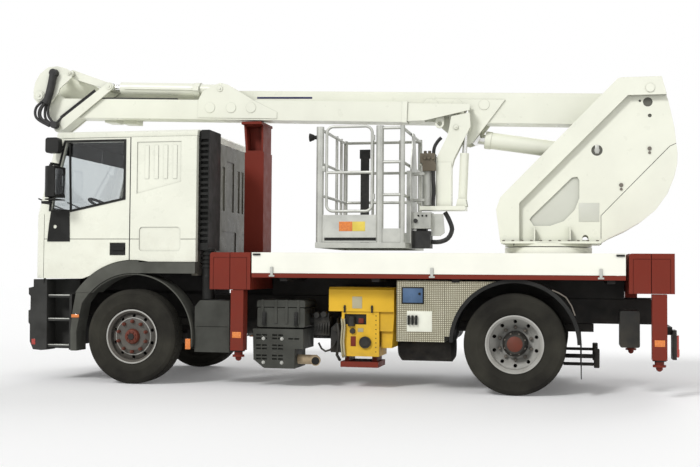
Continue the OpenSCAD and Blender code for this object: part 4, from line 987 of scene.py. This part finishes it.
coat(steel_white, "boom1", "boom2", "boom2_inner", "link_lower", "link_upper", "hanger")
pins = [
    # body, place along and square to the boom, face it sits on, radius
    ("boom1", 7.190, 0.005, 0.334, 0.050),
    ("boom1", 6.816, 0.291, 0.330, 0.026),
    ("link_lower", 6.302, 0.135, 0.286, 0.036),
    ("boom2", 6.940, -0.372, 0.290, 0.024),
    ("boom2", 4.895, 0.121, 0.258, 0.036),
    ("hanger", 2.077, -0.292, 0.228, 0.024),
]
for number, (body, u, w, face, radius) in enumerate(pins):
    bm = bmesh.new()
    stud(bm, on_boom(u, face, w), to_left, radius, 0.010, sides=28)
    stud(bm, on_boom(u, face + 0.010, w), to_left, radius * 0.34, 0.010, sides=6)
    add_piece(f"pin_keeper_{number}", bm, body, steel_white)
plugs = [
    # body, face they sit on, places along and square to the boom
    ("boom1", 0.0383, ((2.375, -0.008), (2.097, -0.006), (1.787, -0.003))),
    ("boom2", 0.258, ((5.009, -0.107), (4.747, -0.104), (4.500, -0.101))),
]
for body, face, spots in plugs:
    bm = bmesh.new()
    for u, w in spots:
        stud(bm, on_boom(u, face, w), to_left, 0.062, 0.007, sides=40, top=0.95)
    add_piece(f"{body}_plugs", bm, body, steel_white)
navy = moulded("navy_stripe", (0.020, 0.020, 0.075), rough=0.35, grain=300.0, depth=0.05)
stripe_drop = math.radians(0.5)
stripe_size = Matrix.Diagonal((0.681, 0.002, 0.022, 1.0))
slope = Matrix.Rotation(stripe_drop - boom_tilt, 4, "Y")
stripe_place = Matrix.Translation(on_boom(4.165, 0.0205, 0.057)) @ slope
bm = bmesh.new()
bmesh.ops.create_cube(bm, size=1.0, matrix=stripe_place @ stripe_size)
add_piece("boom_stripe", bm, "boom1", navy)

# Cylinders
# White barrels with ground and chromed rods.
coat(steel_white, "fold_barrel", "lift_barrel", "level_barrel")
chrome, tree, shader, place = finish("rod_chrome", 0.14, 1.0)
patchy(tree, shader, place, 8.0, [(0.3, (0.62, 0.62, 0.60)), (0.7, (0.80, 0.80, 0.78))])
uneven(tree, shader, place, 20.0, 0.10, 0.24)
coat(chrome, "lift_rod", "fold_rod", "level_rod")

# Hydraulic hoses and valve block
# Black rubber hoses with a woven cover, clamped to the head, the lower link, the second boom and
# the basket's hanger, where they meet a cast valve block.
hose_black, tree, shader, place = finish("hose_black", 0.62)
patchy(tree, shader, place, 10.0, [(0.35, (0.009, 0.009, 0.009)), (0.75, (0.030, 0.029, 0.027))],
       detail=6.0)
braid = tree.nodes.new("ShaderNodeTexWave")
braid.inputs["Scale"].default_value = 60.0
braid.bands_direction = "DIAGONAL"
tree.links.new(place, braid.inputs["Vector"])
raised(tree, shader, braid.outputs["Fac"], 0.4, 0.002)
cast_bronze = dusty_paint("valve_casting", (0.13, 0.105, 0.07), (0.04, 0.035, 0.03), 1.0, 3.0,
                          rough=0.5, share=0.6)


def bend(points, steps=6):
    """Points along a smooth curve through the given ones."""
    points = [Vector(p) for p in points]
    last = len(points) - 1
    path = []
    for k in range(last):
        before, here, after, beyond = (points[max(min(k + j, last), 0)] for j in (-1, 0, 1, 2))
        for t in (j / steps for j in range(steps)):
            path.append(0.5 * (2.0 * here + (after - before) * t
                               + (2.0 * before - 5.0 * here + 4.0 * after - beyond) * t ** 2
                               + (3.0 * here - before - 3.0 * after + beyond) * t ** 3))
    return path + [points[-1]]


sleeve_run = ((7.004, 0.290), (7.034, 0.100), (7.064, -0.030), (7.088, -0.090))
head_runs = [
    # distance out, then places along and square to the boom
    (0.342, (6.984, 0.240), (7.010, 0.110), (7.035, -0.020),
     (7.062, -0.150), (7.050, -0.245), (6.985, -0.325)),
    (0.342, (7.018, 0.240), (7.045, 0.105), (7.070, -0.025),
     (7.100, -0.160), (7.088, -0.275), (7.000, -0.345)),
    (0.374, (6.990, 0.240), (7.020, 0.105), (7.055, -0.030),
     (7.140, -0.170), (7.130, -0.275), (7.010, -0.345)),
    (0.374, (7.025, 0.242), (7.058, 0.100), (7.095, -0.035),
     (7.205, -0.150), (7.190, -0.275), (7.015, -0.370)),
    (0.357, (7.005, 0.240), (7.038, 0.102), (7.065, -0.030),
     (7.165, -0.165), (7.150, -0.280), (7.005, -0.360)),
]
bm = bmesh.new()
stud(bm, on_boom(7.003, 0.322, 0.282), to_left, 0.052, 0.068, sides=28)
tube(bm, bend([on_boom(u, 0.358, w) for u, w in sleeve_run]), 0.047, sides=18)
for y, *run in head_runs:
    tube(bm, bend([on_boom(u, y, w) for u, w in run]), 0.0165, sides=12)
hoses = add_piece("head_hose_bundle", bm, None, hose_black)
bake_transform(hoses)
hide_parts("head_hoses")
bm = bmesh.new()
stud(bm, on_boom(6.962, 0.308, -0.352), to_left, 0.046, 0.082, sides=24)
add_piece("hose_bracket", bm, "boom2", hose_black)
link_run = ((6.880, 0.279, -0.221), (6.918, 0.285, -0.264), (6.944, 0.305, -0.306),
            (6.958, 0.330, -0.340))
bm = bmesh.new()
tube(bm, bend([on_boom(*at) for at in link_run]), 0.015, sides=12)
add_piece("link_hose_end", bm, "link_lower", hose_black)

link_foot = (6.940, -0.372)
link_way = (-0.78289, 0.62216)
link_length = 0.815


def on_valve_block(x, y, z, n):
    """The casting and its unions, without the hose that leaves its top."""
    return 2.3990 < z < 2.642 and x > 0.9345 and not (z > 2.6005 and x < 1.0)


def on_boom_hoses(x, y, z, n):
    """The two hoses along the top of the second boom."""
    u, w = along_boom(x, z)
    return 5.43 < u < 6.45 and w > -0.0119 and 0.198 < y < 0.244


def on_link_hoses(x, y, z, n):
    """The two hoses along the lower link, beyond its tapering edge."""
    u, w = along_boom(x, z)
    u, w = u - link_foot[0], w - link_foot[1]
    along = u * link_way[0] + w * link_way[1]
    off = u * link_way[1] - w * link_way[0]
    edge = 0.0605 - 0.012 * along / link_length
    return 0.263 < y < 0.285 and off > edge and 0.085 < along < 0.645


coat(hose_black, "hanger_hoses", "basket_controls")
coat_where(cast_bronze, "hanger_hoses", on_valve_block)
coat_where(hose_black, "boom2", on_boom_hoses)
coat_where(hose_black, "link_lower", on_link_hoses)

# Work basket, gate and control box
# Welded aluminium tube and sheet, brushed and dulled by weather, with a plain two-colour
# reflector on the kick plate, a small work lamp and a grey control box behind.
yellow_film = moulded("yellow_film", (0.66, 0.52, 0.10), rough=0.3, grain=300.0, depth=0.05)


def on_control_box(x, y, z, n):
    """The grey box and the flat bracket behind it, without the pump box and the hose."""
    box = z > 1.7449 and 0.0 < y < 0.3301 and x > 0.9
    bracket = 0.83 < x < 0.985 and 0.239 < y < 0.251 and z > 1.66 and abs(n.y) > 0.9
    return box or bracket


coat(alloy, "basket", "basket_gate")
coat_where(alloy, "basket_controls", on_control_box)
bm = bmesh.new()
block(bm, (1.790, 1.940), (0.7575, 0.7605), (1.700, 1.806), 0.001)
add_piece("kick_plate_amber", bm, "basket", amber_lens)
bm = bmesh.new()
block(bm, (1.646, 1.789), (0.7575, 0.7605), (1.700, 1.806), 0.001)
add_piece("kick_plate_yellow", bm, "basket", yellow_film)
bm = bmesh.new()
# painted shadow line under the kick plate, work lamp, and buttons of the control box
block(bm, (1.478, 2.105), (0.7565, 0.7590), (1.596, 1.630))
stud(bm, from_axle(2.204, 0.700, 2.750), to_front, 0.022, 0.040, sides=20, top=1.0)
stud(bm, from_axle(2.244, 0.700, 2.750), to_front, 0.030, 0.050, sides=24, top=1.6)
for k in range(3):
    stud(bm, from_axle(1.030 + 0.045 * k, 0.330, 1.890), to_left, 0.011, 0.014, sides=16)
add_piece("basket_fittings", bm, "basket", trim_black)
bm = bmesh.new()
for x in (1.500, 1.640, 1.780, 1.920, 2.060, 2.150):
    for z in (1.650, 1.860):
        stud(bm, from_axle(x, 0.7575, z), to_left, 0.007, 0.003, sides=12)
# latch of the gate
block(bm, (2.098, 2.140), (0.722, 0.764), (2.360, 2.420), 0.004)
add_piece("kick_plate_rivets", bm, "basket", alloy)
bm = bmesh.new()
block(bm, (0.676, 0.698), (0.2175, 0.2205), (3.085, 3.135), 0.001)
add_piece("hanger_reflector", bm, "hanger", red_lens)
